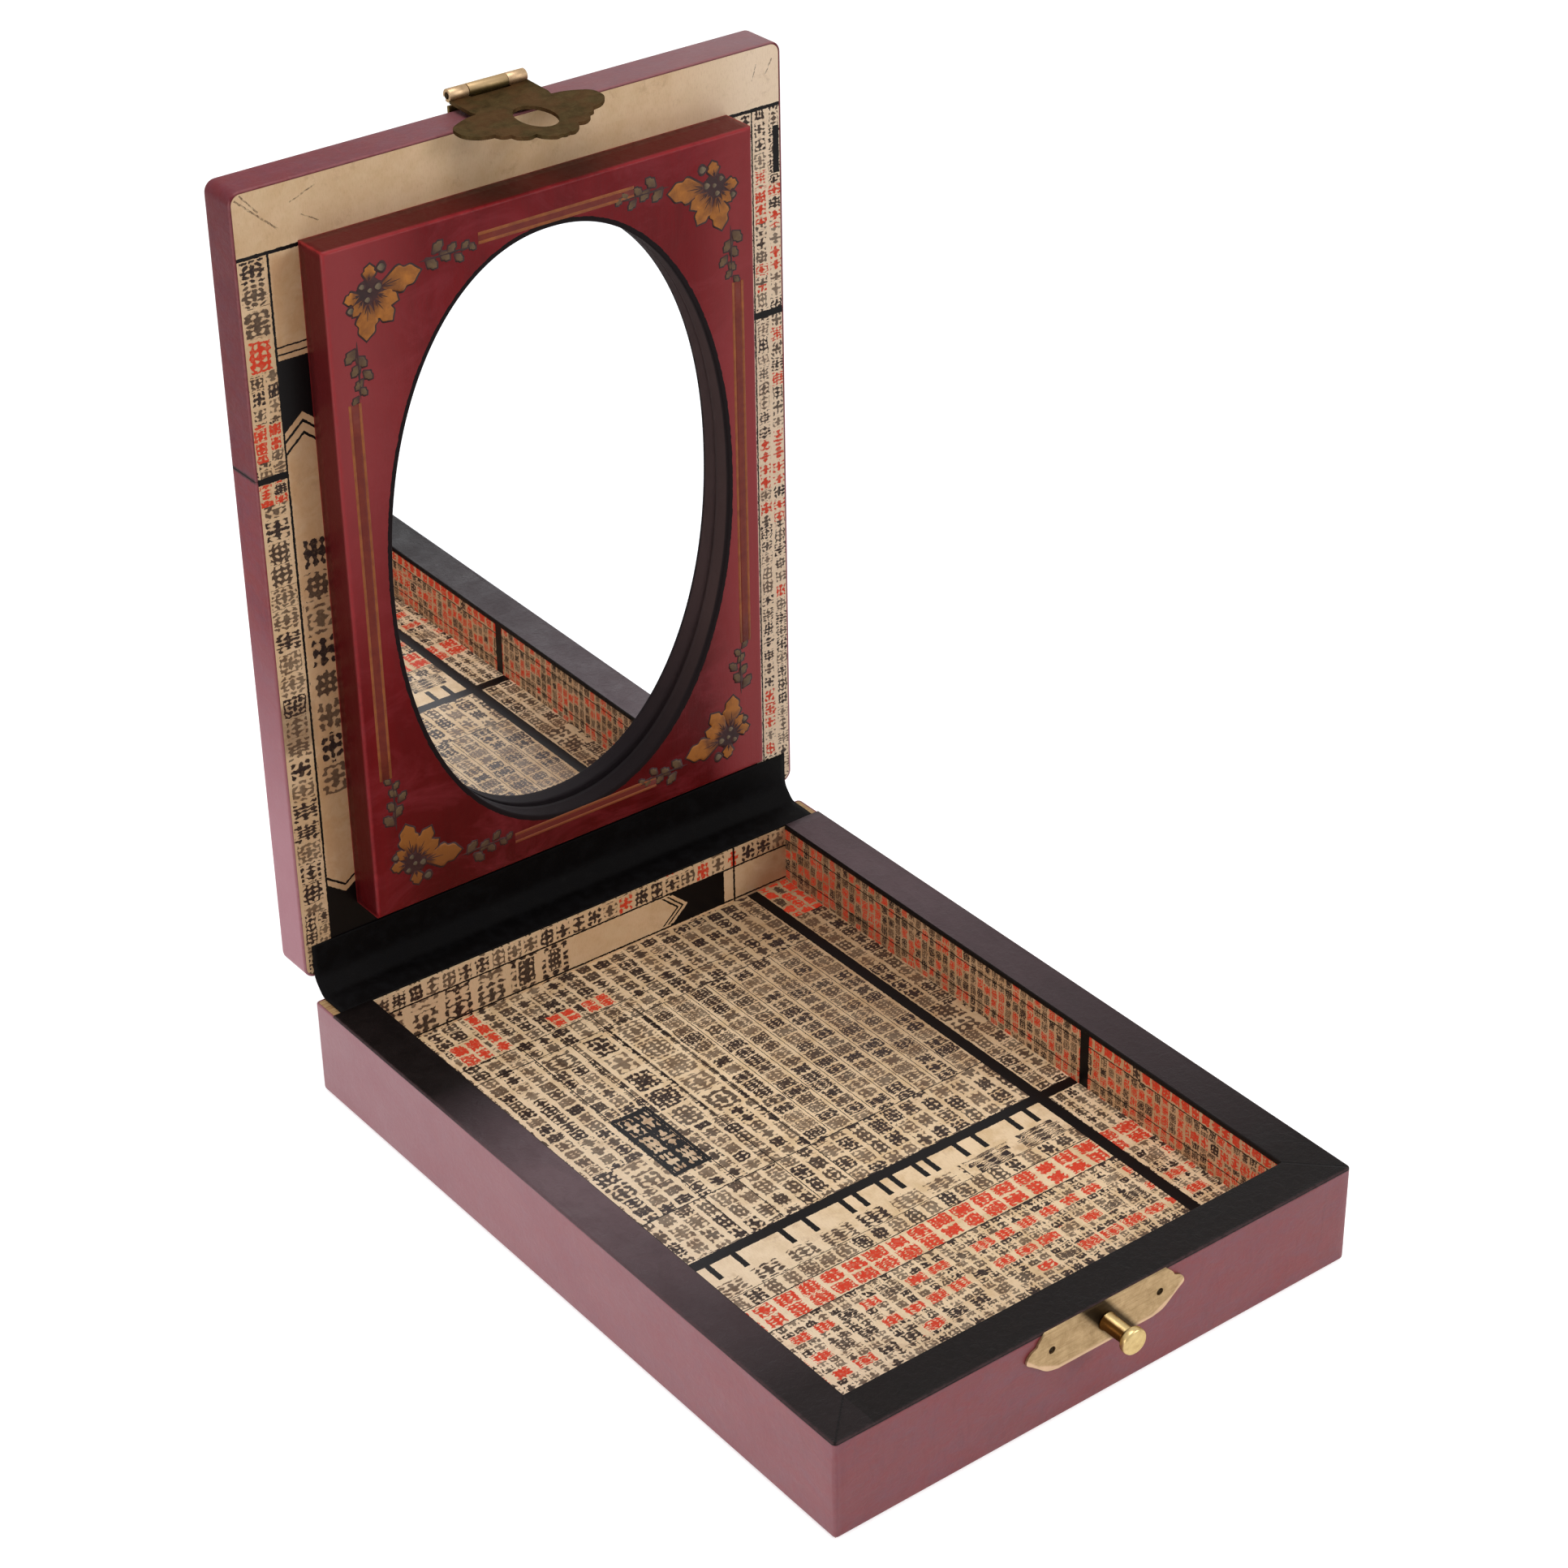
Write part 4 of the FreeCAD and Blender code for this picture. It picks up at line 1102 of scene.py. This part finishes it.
class CASE_OT_papers(bpy.types.Operator):
    """Block-printed papers on the floor, the four tray walls and the inside of the lid."""

    bl_idname = "case.papers"
    bl_label = "Printed papers"

    def execute(self, context):
        for name, u, v, foot, layout, nodes in (
            ("print_floor", 0, 1, 0.0, FLOOR_LAYOUT, ["floor_lining"]),
            ("print_side_wall", 1, 2, 0.0, WALL_LAYOUT, ["left_lining", "right_lining"]),
            ("print_front_wall", 0, 2, 0.0, WALL_LAYOUT, ["front_lining"]),
            ("print_back_wall", 0, 2, 0.0, BACK_LAYOUT, ["back_lining"]),
            ("print_lid", 0, 2, LID_FOOT, LID_LAYOUT, ["lid_lining"]),
        ):
            material = paper_material(name, u, v, foot, **layout)
            for node in nodes:
                dress(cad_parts[node].data, material)
        return {"FINISHED"}


class CASE_OT_lid_covering(bpy.types.Operator):
    """Covering of the lid in two sheets that butt at a seam; rings of a rounded rectangle, cut at the seam."""

    bl_idname = "case.lid_covering"
    bl_label = "Lid covering"

    def execute(self, context):
        half_up, depth = LID_HEIGHT / 2, -LID_THICKNESS
        rings = [(COVERING, -0.3), (COVERING, -0.08), (COVERING - 0.1, 0.0), (0.25, 0.0), (0.07, -0.07), (0.0, -0.25)]
        rings += [(0.0, out) for out in np.linspace(-0.8, depth + 1.5, 8)]
        rings += [(inset, depth + drop) for inset, drop in quarter(1.5, 8)[1:]]
        rings += [(1.8, depth), (2.6, depth)]
        inside = [(3.0, depth + COVERING), (COVERING + 1.0, depth + COVERING), (COVERING, depth + COVERING + 1.0)]

        def stack_of(pairs):
            return [lift(rounded_outline(HALF_WIDTH, half_up, 3.0, i, 10, 40), out, half_up) for i, out in pairs]

        skin, skin_faces = stacked_rings(stack_of(rings), last_cap=True)
        back, back_faces = stacked_rings(stack_of(inside + rings[:1]), first_cap=True)
        points = np.concatenate([skin, back])
        faces = skin_faces + [[k + len(skin) for k in f] for f in back_faces]
        for part, is_low in (("lower", True), ("upper", False)):
            piece = add_piece("lid_covering_" + part, on_lid(points), faces)
            level = LID_FOOT + COVERING_SEAM + (-0.06 if is_low else 0.06)
            with reshaping(piece.data) as work:
                geometry = work.verts[:] + work.edges[:] + work.faces[:]
                cut = bmesh.ops.bisect_plane(
                    work, geom=geometry, dist=1e-7, plane_co=(0, 0, level * MM), plane_no=(0, 0, 1),
                    clear_outer=is_low, clear_inner=not is_low,
                )
                edges = [e for e in cut["geom_cut"] if isinstance(e, bmesh.types.BMEdge)]
                bmesh.ops.triangle_fill(work, edges=edges, use_beauty=True)
                bmesh.ops.recalc_face_normals(work, faces=work.faces)
            piece.data.shade_smooth()
            finish(bevel(piece, 0.14, 2, 55), "lid", covering_material(part), "lid_wrap_" + part)
        return {"FINISHED"}


def oval_points(grow, count):
    """Full oval: |x/a|^n + |y/b|^n = 1 by angle, grown by a margin."""
    way = circle(count)
    reach = np.abs(way) ** (2 / values().oval_fullness)
    return (OVAL_HALF_WIDTH + grow, OVAL_HALF_HEIGHT + grow) * np.sign(way) * reach + (OVAL_X, OVAL_UP)


def frame_outline(inset, count):
    """Frame rectangle, one point in the direction of each oval point, with points at its corners."""
    a, b = FRAME_HALF_WIDTH - inset, FRAME_HALF_HEIGHT - inset
    corner = math.atan2(b, a)
    marks = np.array([0, corner, np.pi - corner, np.pi + corner, 2 * np.pi - corner, 2 * np.pi])
    places = np.round(marks / (2 * np.pi) * count).astype(int)
    angle = np.interp(np.arange(count), places, marks)
    way = np.column_stack([np.cos(angle), np.sin(angle)])
    return way / np.max(np.abs(way) / (a, b), axis=1)[:, None] + (0, FRAME_MIDDLE)


class CASE_OT_mirror_frame(bpy.types.Operator):
    """Lacquered frame: rings from the back round the outer edge, over the front and down the oval wall."""

    bl_idname = "case.mirror_frame"
    bl_label = "Mirror frame"

    def execute(self, context):
        count, front, seat = 480, FRAME_THICKNESS, GLASS_FRONT + 0.02
        edge, rim = frame_outline(0.9, count), oval_points(0.35, count)
        outer = [(0.0, 0.0), (0.0, 3.0), (0.0, 6.0), (0.0, front - 1.0)]
        outer += [(inset, front - drop) for inset, drop in quarter(0.9, 6)[1:]]
        rows = [(frame_outline(inset, count), out, 30.0) for inset, out in outer]
        for share in (0.04, 0.18, 0.34, 0.5, 0.62, 0.72):
            line = edge + (rim - edge) * share
            rows.append((line, front, np.linalg.norm(line - rim, axis=1) + 0.35))
        rows += [(oval_points(grow, count), front, grow) for grow in (1.6, 1.1, 0.7, 0.35)]
        wall = [(inset, front - drop) for inset, drop in quarter(0.35, 4)[::-1][1:]]
        wall += [(0.0, 8.6), (0.0, 7.2), (0.0, 6.0), (0.0, seat), (4.0, seat), (4.0, 0.0)]
        rows += [(oval_points(grow, count), out, 0.0) for grow, out in wall]
        points, faces = stacked_rings([lift(line, out) for line, out, _ in rows], loop=True)
        gaps = np.concatenate([np.broadcast_to(gap, count) for _, _, gap in rows])
        piece = add_piece("lacquered_frame", on_lid(points), faces, gaps)
        finish(piece, "lid", lacquer_material(), "mirror_frame")
        self.mirror()
        dress(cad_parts["mirror_backing"].data, board_material("card"))
        return {"FINISHED"}

    @staticmethod
    def mirror():
        """Oval glass; its front leans by MIRROR_LEAN about its middle, so that out = front + lean * (up - middle)."""
        rings = [lift(oval_points(3.6, 240), 2.75)]
        for grow, drop in ((3.6, 0.15), (3.45, 0.0), (2.0, 0.0)):
            ring = lift(oval_points(grow, 240), GLASS_FRONT - drop)
            ring[:, 2] += MIRROR_LEAN * (ring[:, 1] - OVAL_UP)
            rings.append(ring)
        points, faces = stacked_rings(rings, first_cap=True, last_cap=True)
        piece = add_piece("mirror_silvered", on_lid(points), faces, smooth=False)
        finish(piece, "lid", mirror_material(), "mirror_glass")


LOBES = ((0, 0.2, 0.42, 0.52, 0.6, 0.74, 0.8, 0.9, 1.0), (0.2, 0.55, 0.95, 1.0, 0.7, 0.74, 0.66, 0.3, 0.0))


def relief(x, up, rise):
    """Low closed solid on the frame's front, from a grid of places and their rise; its foot is in the lacquer."""
    top, foot = (np.stack([x, up, 0 * x + FRAME_THICKNESS + out], -1) for out in (rise + 0.01, -0.04))
    place = np.arange(x.size).reshape(x.shape)
    loop = np.concatenate([place[0], place[1:, -1], place[-1, -2::-1], place[-2:0:-1, 0]])
    after = np.roll(loop, -1)
    faces = quads_between(*x.shape)
    sides = np.stack([loop, after, after + x.size, loop + x.size], -1)
    points = np.concatenate([top.reshape(-1, 3), foot.reshape(-1, 3)])
    return points, np.concatenate([faces, faces[:, ::-1] + x.size, sides])


def petal(base, angle, length, width, height, lobed=False, lines=9, across=7):
    """Closed raised petal lying on the frame's front.

    Along it, u runs 0 to 1 and the half width is width * sin(pi * u^0.8)^0.75, or follows LOBES with its two
    shoulders; v runs -1 to 1 across, and the height is height * (1 - v^2) * sin(pi * u)^0.5.
    """
    u = np.linspace(0.0, 1.0, lines)[:, None]
    v = np.linspace(-1.0, 1.0, across)[None, :]
    half = width * (np.interp(u, *LOBES) if lobed else np.sin(np.pi * u**0.8).clip(0) ** 0.75)
    along, side = u * length + 0 * v, half * v
    c, s = math.cos(angle), math.sin(angle)
    rise = height * (1 - v**2) * np.sin(np.pi * u).clip(0) ** 0.5
    x, up = base[0] + along * c - side * s, base[1] + along * s + side * c
    return *relief(x, up, rise), np.tile((u + 0 * v).ravel(), 2)


def stripe(start, end, half, height=0.06):
    """Low ridge from start to end: across it the height is height * (1 - v^2)."""
    start, way = np.array(start), np.subtract(end, start)
    side = np.array([-way[1], way[0]]) / np.linalg.norm(way) * half
    u = np.linspace(0, 1, 12)[:, None]
    v = np.linspace(-1, 1, 5)[None, :]
    x, up = (start[k] + way[k] * u + side[k] * v for k in (0, 1))
    return *relief(x, up, height * (1 - v**2) + 0 * u), np.full(2 * x.size, 0.7)


def gather(name, parts, kind, signs=ALL_CORNERS):
    """One piece of many small closed solids, repeated in the frame's corners by mirroring x and up."""
    points, faces, along, start = [], [], [], 0
    for sign_x, sign_up in signs:
        for solid, corners, marks in parts:
            points.append((solid - (0, FRAME_MIDDLE, 0)) * (sign_x, sign_up, 1) + (0, FRAME_MIDDLE, 0))
            faces.append(corners + start)
            along.append(marks)
            start += len(solid)
    piece = add_piece(name, on_lid(np.concatenate(points)), np.concatenate(faces), np.concatenate(along))
    return finish(piece, "lid", painted_material(kind))


class CASE_OT_ornament(bpy.types.Operator):
    """Painted corner flowers, leaf sprays and double pinstripes of the mirror frame."""

    bl_idname = "case.ornament"
    bl_label = "Frame ornament"

    def execute(self, context):
        centre = np.array([47.9, 178.3])
        petals = [(174, 3.4, 14.0, 3.3), (208, 2.6, 8.6, 2.2), (236, 2.6, 10.2, 2.7), (277, 2.8, 11.6, 3.0)]
        petals += [(352, 2.4, 6.4, 1.7), (98, 2.4, 6.4, 1.8), (312, 2.4, 6.6, 1.5)]
        beads = [(-3.7, 4.9, 1.1), (-2.6, 0.6, 1.0), (1.6, 1.5, 0.8), (0.4, -1.9, 0.8), (4.9, -3.4, 0.9)]
        beads += [(-0.4, 0.2, 0.7)]
        gold, line, leaf, bead = [], [petal(centre - (3.7, 0), 0.0, 7.4, 3.4, 0.02)], [], []
        for angle, near, far, width in petals:
            turn = math.radians(angle)
            way = np.array([math.cos(turn), math.sin(turn)])
            gold.append(petal(centre + way * near, turn, far - near, width, 0.1, True, 25, 9))
            line.append(petal(centre + way * (near - 0.7), turn, far - near + 1.2, width + 0.4, 0.03, True, 25, 5))
            for side in (-0.28, 0.0, 0.28):
                line.append(petal(centre + way * near, turn + side, (far - near) * (0.62 - abs(side)), 0.22, 0.13))
        for x, up, size in beads:
            bead.append(petal(centre + (x - size, up), 0.0, size * 2, size * 0.95, 0.12))
            line.append(petal(centre + (x - size - 0.45, up), 0.0, size * 2 + 0.9, size + 0.45, 0.05))
        for step in range(7):
            go, flip = step / 6, 1 if step % 2 else -1
            size = 4.0 - 1.6 * go
            for place, way in (
                ((32.6 - 11.5 * go, 181.8 + 0.9 * math.sin(go * 7)), math.pi),
                ((51.6 + 0.9 * math.sin(go * 7 + 1), 165.6 - 11.5 * go), -math.pi / 2),
            ):
                turn = way - flip * 0.75
                heel = np.array(place) - (0.3 * math.cos(turn), 0.3 * math.sin(turn))
                leaf.append(petal(place, turn, size, size * 0.36, 0.07, True, 17, 5))
                line.append(petal(heel, turn, size + 0.7, size * 0.36 + 0.3, 0.03, True, 17, 5))
        line.append(petal((34.5, 181.6), math.pi, 14.5, 0.3, 0.08, False, 25))
        line.append(petal((51.9, 167.5), -math.pi / 2, 14.5, 0.3, 0.08, False, 25))
        gather("gold_petals", gold, "gold")
        gather("petal_outlines", line, "line")
        gather("leaf_sprays", leaf, "leaf")
        gather("flower_beads", bead, "bead")

        def across(up, *sizes):
            return stripe((-18.5, up), (24.5, up), *sizes)

        def upright(x, *sizes):
            return stripe((x, 152.5), (x, 53.9), *sizes)

        gather("pinstripes_across", [across(181.9, 0.4), across(184.0, 0.4)], "stripe", ABOVE_AND_BELOW)
        gather("pinstripes_upright", [upright(52.3, 0.36), upright(55.0, 0.36)], "stripe", LEFT_AND_RIGHT)
        gather("wash_across", [across(182.95, 0.95, 0.02)], "wash", ABOVE_AND_BELOW)
        gather("wash_upright", [upright(53.65, 1.2, 0.02)], "wash", LEFT_AND_RIGHT)
        return {"FINISHED"}


def smooth_outline(half, steps, keep):
    """Closed line through corners given for one half and mirrored, by Catmull-Rom cubics.

    Corners whose number is in keep stay sharp on both sides. A last corner on the middle line isn't doubled.
    """
    middle = half[-1][0] == 0
    corners = np.array(half + [(-x, y) for x, y in reversed(half[:-1] if middle else half)], float)
    total = len(corners)
    sharp = {*keep, *(total - 1 - k for k in keep)}
    t = np.linspace(0, 1, steps, endpoint=False)[:, None]
    pieces = []
    for k in range(total):
        a, b, c, d = (corners[(k + j) % total] for j in (-1, 0, 1, 2))
        if k in sharp:
            a = b - (c - b)
        if (k + 1) % total in sharp:
            d = c + (c - b)
        pieces.append(0.5 * (2 * b + (c - a) * t + (2 * a - 5 * b + 4 * c - d) * t**2 + (3 * b - a - 3 * c + d) * t**3))
    return np.concatenate(pieces)


def plate_with_holes(outline, holes, low, high):
    """Flat plate as points and faces: outline and holes triangulated once, used for both faces, with walls."""
    work = bmesh.new()
    edges = []
    for loop in [outline] + holes:
        verts = [work.verts.new((x, y, high)) for x, y in loop]
        edges += [work.edges.new((a, b)) for a, b in zip(verts, verts[1:] + verts[:1])]
    bmesh.ops.triangle_fill(work, edges=edges, use_beauty=True, use_dissolve=False)
    made = bmesh.ops.extrude_face_region(work, geom=list(work.faces), use_keep_orig=True)
    moved = [g for g in made["geom"] if isinstance(g, bmesh.types.BMVert)]
    bmesh.ops.translate(work, verts=moved, vec=(0, 0, low - high))
    bmesh.ops.recalc_face_normals(work, faces=work.faces)
    work.verts.index_update()
    points = np.array([v.co[:] for v in work.verts])
    corners = [[v.index for v in f.verts] for f in work.faces]
    work.free()
    return points, corners


class CASE_OT_catch(bpy.types.Operator):
    """Catch on the front wall: shaped plate with pin holes, turned post and two pins."""

    bl_idname = "case.catch"
    bl_label = "Catch"

    def execute(self, context):
        end, high, low = 22.9, 11.7, 15.3
        half = [(0.6, 0), (0.74, 0.07), (0.86, 0.25), (0.93, 0.36), (1, 0.47), (0.985, 0.6), (0.94, 0.69)]
        half = [(end * x, low + high * z) for x, z in half + [(0.875, 0.75), (0.85, 0.84)]] + [(end * 0.77, 26.95)]
        sides = (-CATCH_PIN_X, CATCH_PIN_X)
        holes = [circle(20) * 0.95 + (x, CATCH_HEIGHT) for x in sides]
        flat, faces = plate_with_holes(smooth_outline(half, 5, (0, 9)), holes, 0.0, 0.6)
        points = np.column_stack([flat[:, 0], -HALF_DEPTH - flat[:, 2], flat[:, 1]])
        plate = bevel(add_piece("catch_plate_shaped", points, faces), 0.4, 4, 50)
        finish(plate, "base", metal_material("catch"), "catch_plate")
        tip, head, face = 10.2, 8.0, 0.6
        profile = [(0.0, -6.0), (1.5, -6.0), (1.5, face - 0.05), (2.35, face), (2.35, face + 0.35), (2.1, face + 0.6)]
        profile += [(2.1, head - 1.0), (2.0, head - 0.7), (1.68, head - 0.45), (1.68, head - 0.08), (1.9, head)]
        profile += [(2.9, head + 0.02), (3.18, head + 0.2), (3.3, head + 0.5), (3.3, tip - 0.75)]
        profile += [(3.2, tip - 0.42), (2.95, tip - 0.18), (2.5, tip - 0.06), (1.4, tip), (0.0, tip)]
        grid = turned_from_wall(profile, 0.0, 48)
        post = add_piece("catch_post_turned", grid, quads_between(*grid.shape[:2], wrap_v=True))
        finish(post, "base", metal_material("post"), "catch_post")
        profile = [(0.0, -4.5), (0.7, -4.2), (0.75, 0.1), (0.7, 0.28), (0.4, 0.38), (0.0, 0.4)]
        grid = np.concatenate([turned_from_wall(profile, x, 20) for x in sides])
        faces = quads_between(len(profile), 20, wrap_v=True)
        pins = add_piece("catch_pins_round", grid, np.concatenate([faces, faces + 20 * len(profile)]))
        finish(pins, "base", metal_material("pin"), "catch_pins")
        return {"FINISHED"}


def hasp_place(points):
    """(x, along the plate, up) of the hasp to the row frame: a half turn, a slope, then the barrel's place."""
    x, t, q = np.moveaxis(np.asarray(points, float), -1, 0)
    c, s = math.cos(HASP_SLOPE), math.sin(HASP_SLOPE)
    return np.stack([-x, HASP_AXIS[0] - t * c - q * s, HASP_AXIS[1] - t * s + q * c], -1)


class CASE_OT_hasp(bpy.types.Operator):
    """Pierced hasp plate with rolled knuckles, its fixed leaf, pin and nails."""

    bl_idname = "case.hasp"
    bl_label = "Hasp"

    def execute(self, context):
        hole, neck, lobe, barrel = 19.7, 10.6, 8.8, 1.6
        shares = [(1, 0, 0.49), (0.96, 0, 0.58), (1, 0.39, 0.62), (1, 0.89, 0.74), (1, 1, 0.89), (1, 0.93, 1.03)]
        shares += [(1, 0.64, 1.15), (1, 0.3, 1.19), (1.16, 0, 1.28), (0.98, 0, 1.31), (0.92, 0, 1.4), (0.72, 0, 1.47)]
        shares += [(0.53, 0, 1.45), (0.45, 0, 1.54), (0.24, 0, 1.63), (0.1, 0, 1.62), (0, 0, 1.64)]
        half = [(neck, 0.62 * barrel)] + [(neck * a + lobe * b, hole * c) for a, b, c in shares]
        outline = smooth_outline(half, 5, (0, 1, 2, 8, 10, 13))
        notch = [(-5.45, 0.62 * barrel), (-5.45, 2.3), (5.45, 2.3), (5.45, 0.62 * barrel)]
        opening = circle(48) * (4.5, 6.6) + (0, hole + 0.5)
        flat, faces = plate_with_holes(np.concatenate([outline, notch]), [opening], -barrel, -0.7)
        plate = bevel(add_piece("hasp_plate_shaped", hasp_place(flat), faces), 0.22, 3, 50)
        finish(plate, "hasp", metal_material("hasp"), "hasp_plate")
        steps = 40
        angle = np.linspace(np.radians(-115), np.radians(205), steps)
        way = np.column_stack([0 * angle, np.cos(angle), np.sin(angle)])
        for name, start, end in (("hasp_knuckle_right", 5.35, neck), ("hasp_knuckle_left", -neck, -5.35)):
            ridge = [(start, barrel - 0.15), (start + 0.15, barrel), (end - 0.15, barrel), (end, barrel - 0.15)]
            bore = [(x, 0.82) for x, _ in reversed(ridge)]
            grid = np.stack([(x, 0, 0) + radius * way for x, radius in ridge + bore])
            ends = [[k * steps + last for k in range(len(grid))] for last in (0, steps - 1)]
            faces = quads_between(len(grid), steps, wrap_u=True).tolist() + ends
            piece = add_piece(name, hasp_place(grid), faces)
            finish(piece, "hasp", metal_material("knuckle"))
        softened_nodes("lid", metal_material("leaf"), "dark_brass", 0.12, 2, hasp_leaf_soft="hasp_leaf")
        softened_nodes("lid", metal_material("knuckle"), "dark_brass", 0.12, 3, hasp_nails_soft="hasp_nails")
        softened_nodes("lid", metal_material("pin"), "dark_brass", 0.12, 3, hasp_pin_soft="hasp_pin")
        return {"FINISHED"}


class CASE_OT_back_hinges(bpy.types.Operator):
    """Two stop hinges on the back with their pins and nails."""

    bl_idname = "case.back_hinges"
    bl_label = "Back hinges"

    def execute(self, context):
        slot, leaf, pin, nail = "hinge_brass", *(metal_material(kind) for kind in ("hinge", "pin", "knuckle"))
        for side in ("left", "right"):
            softened_nodes("base", leaf, slot, 0.12, 2, **{"base_leaf_" + side: "hinge_base_leaf_" + side})
            softened_nodes("lid", leaf, slot, 0.12, 2, **{"lid_leaf_" + side: "hinge_lid_leaf_" + side})
            softened_nodes("base", pin, slot, 0.15, 3, **{"pin_" + side: "hinge_pin_" + side})
        softened_nodes("base", nail, slot, 0.12, 3, base_nails="base_hinge_nails")
        softened_nodes("lid", nail, slot, 0.12, 3, lid_nails="lid_hinge_nails")
        return {"FINISHED"}


class CASE_OT_boards(bpy.types.Operator):
    """Materials of the boards and the felt, which the coverings hide from most sides."""

    bl_idname = "case.boards"
    bl_label = "Boards and felt"

    def execute(self, context):
        for node in ("bottom_board", "inner_floor", "front_wall", "back_wall", "left_wall", "right_wall", "lid_board"):
            dress(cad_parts[node].data, board_material("wood"))
        dress(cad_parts["underside_felt"].data, board_material("felt"))
        return {"FINISHED"}


class CASE_OT_stage(bpy.types.Operator):
    """White floor, world, three soft lamps and the photograph's camera."""

    bl_idname = "case.stage"
    bl_label = "Stage"

    def execute(self, context):
        context.scene.view_settings.view_transform = "Standard"
        self.floor()
        self.world(context.scene)
        for lamp in LAMPS:
            self.lamp(*lamp)
        self.camera(context.scene)
        return {"FINISHED"}

    @staticmethod
    def see_white(w):
        """1 for camera, glossy and transmission rays, which see the plain background."""
        path = w.add("ShaderNodeLightPath", out=None)
        return (path["Is Camera Ray"] + path["Is Glossy Ray"] + path["Is Transmission Ray"]).clamped()

    def floor(self):
        """Diffuse floor that keeps the shadow and glows to the rays that see white."""
        half, steps = 3000, 13
        x = np.linspace(-half, half, steps)
        grid = np.stack(np.broadcast_arrays(x[:, None], x[None, :], -0.05), -1)
        piece = add_piece("studio_floor", grid, quads_between(steps, steps))
        material = bpy.data.materials.new("studio_white")
        material.use_nodes = True
        material.node_tree.nodes.clear()
        w = Wires(material.node_tree)
        matt = w.add("ShaderNodeBsdfDiffuse", {"Color": (0.8, 0.8, 0.8, 1)})
        glow = w.add("ShaderNodeEmission", {"Color": (1, 1, 1, 1), "Strength": 0.7})
        both = w.add("ShaderNodeAddShader", {0: matt, 1: glow})
        shown = w.add("ShaderNodeMixShader", {0: self.see_white(w), 1: matt, 2: both})
        w.add("ShaderNodeOutputMaterial", {"Surface": shown}, None)
        dress(piece.data, material)

    def world(self, scene):
        """White to the rays that see white, and a dimmer light to the others."""
        scene.world = world = bpy.data.worlds.new("studio_air")
        world.use_nodes = True
        w = Wires(world.node_tree, world, world.node_tree.nodes["Background"].inputs)
        w.give(Color=(1, 1, 1, 1), Strength=w.mix(self.see_white(w), 0.32, 1.0))

    @staticmethod
    def stand(name, data, right, rise, back, place):
        """Object that turns its own axes to right, rise and back, at a place."""
        thing = bpy.data.objects.new(name, data)
        turn = np.eye(4)
        turn[:3] = np.column_stack([right, rise, back, place])
        thing.matrix_world = Matrix(turn.tolist())
        bpy.context.scene.collection.objects.link(thing)
        return thing

    def lamp(self, name, place, target, size, power):
        """Round lamp that faces its target."""
        data = bpy.data.lights.new(name, "AREA")
        data.shape, data.size, data.energy = "DISK", size, power
        way = np.subtract(target, place)
        way /= np.linalg.norm(way)
        side = np.cross(way, (0, 0, 1))
        side /= np.linalg.norm(side)
        self.stand(name, data, side, np.cross(side, way), -way, place)

    def camera(self, scene):
        """The camera fitted to the photograph's straight edges: place, heading, tilt, roll and lens."""
        azimuth, tilt, roll = np.radians(CAMERA_ANGLES)
        ahead = np.array([-math.sin(azimuth) * math.cos(tilt), math.cos(azimuth) * math.cos(tilt), -math.sin(tilt)])
        right = np.array([math.cos(azimuth), math.sin(azimuth), 0.0])
        rise = np.cross(right, ahead)
        across = right * math.cos(roll) + rise * math.sin(roll)
        upright = rise * math.cos(roll) - right * math.sin(roll)
        data = bpy.data.cameras.new("camera")
        data.sensor_width = SENSOR_WIDTH
        data.lens = FOCAL_PIXELS / PICTURE_PIXELS * SENSOR_WIDTH
        data.clip_start, data.clip_end = 0.01, 20.0
        scene.camera = self.stand("camera", data, across, upright, -ahead, np.array(CAMERA_PLACE) * MM)


class CASE_PT_panel(bpy.types.Panel):
    """Sidebar panel that lists the pieces."""

    bl_label = "Makeup Case"
    bl_idname = "CASE_PT_panel"
    bl_space_type = "VIEW_3D"
    bl_region_type = "UI"
    bl_category = "Makeup Case"

    def draw(self, context):
        for step in STEPS:
            self.layout.operator(step.bl_idname)
        for name in CaseFinish.__annotations__:
            self.layout.prop(context.scene.case_finish, name)


STEPS = (
    CASE_OT_boards, CASE_OT_covering, CASE_OT_rim, CASE_OT_papers, CASE_OT_hinge_cloth, CASE_OT_lid_covering,
    CASE_OT_mirror_frame, CASE_OT_ornament, CASE_OT_catch, CASE_OT_hasp, CASE_OT_back_hinges, CASE_OT_stage,
)


def register():
    """Makes the finish values, the operators and the panel known."""
    for cls in (CaseFinish, *STEPS, CASE_PT_panel):
        bpy.utils.register_class(cls)
    bpy.types.Scene.case_finish = PointerProperty(type=CaseFinish)


def unregister():
    """Takes back what register did."""
    del bpy.types.Scene.case_finish
    for cls in reversed((CaseFinish, *STEPS, CASE_PT_panel)):
        bpy.utils.unregister_class(cls)


def main():
    """Builds every piece in turn."""
    register()
    for step in STEPS:
        group, name = step.bl_idname.split(".")
        getattr(getattr(bpy.ops, group), name)()


if __name__ == "__main__":
    main()
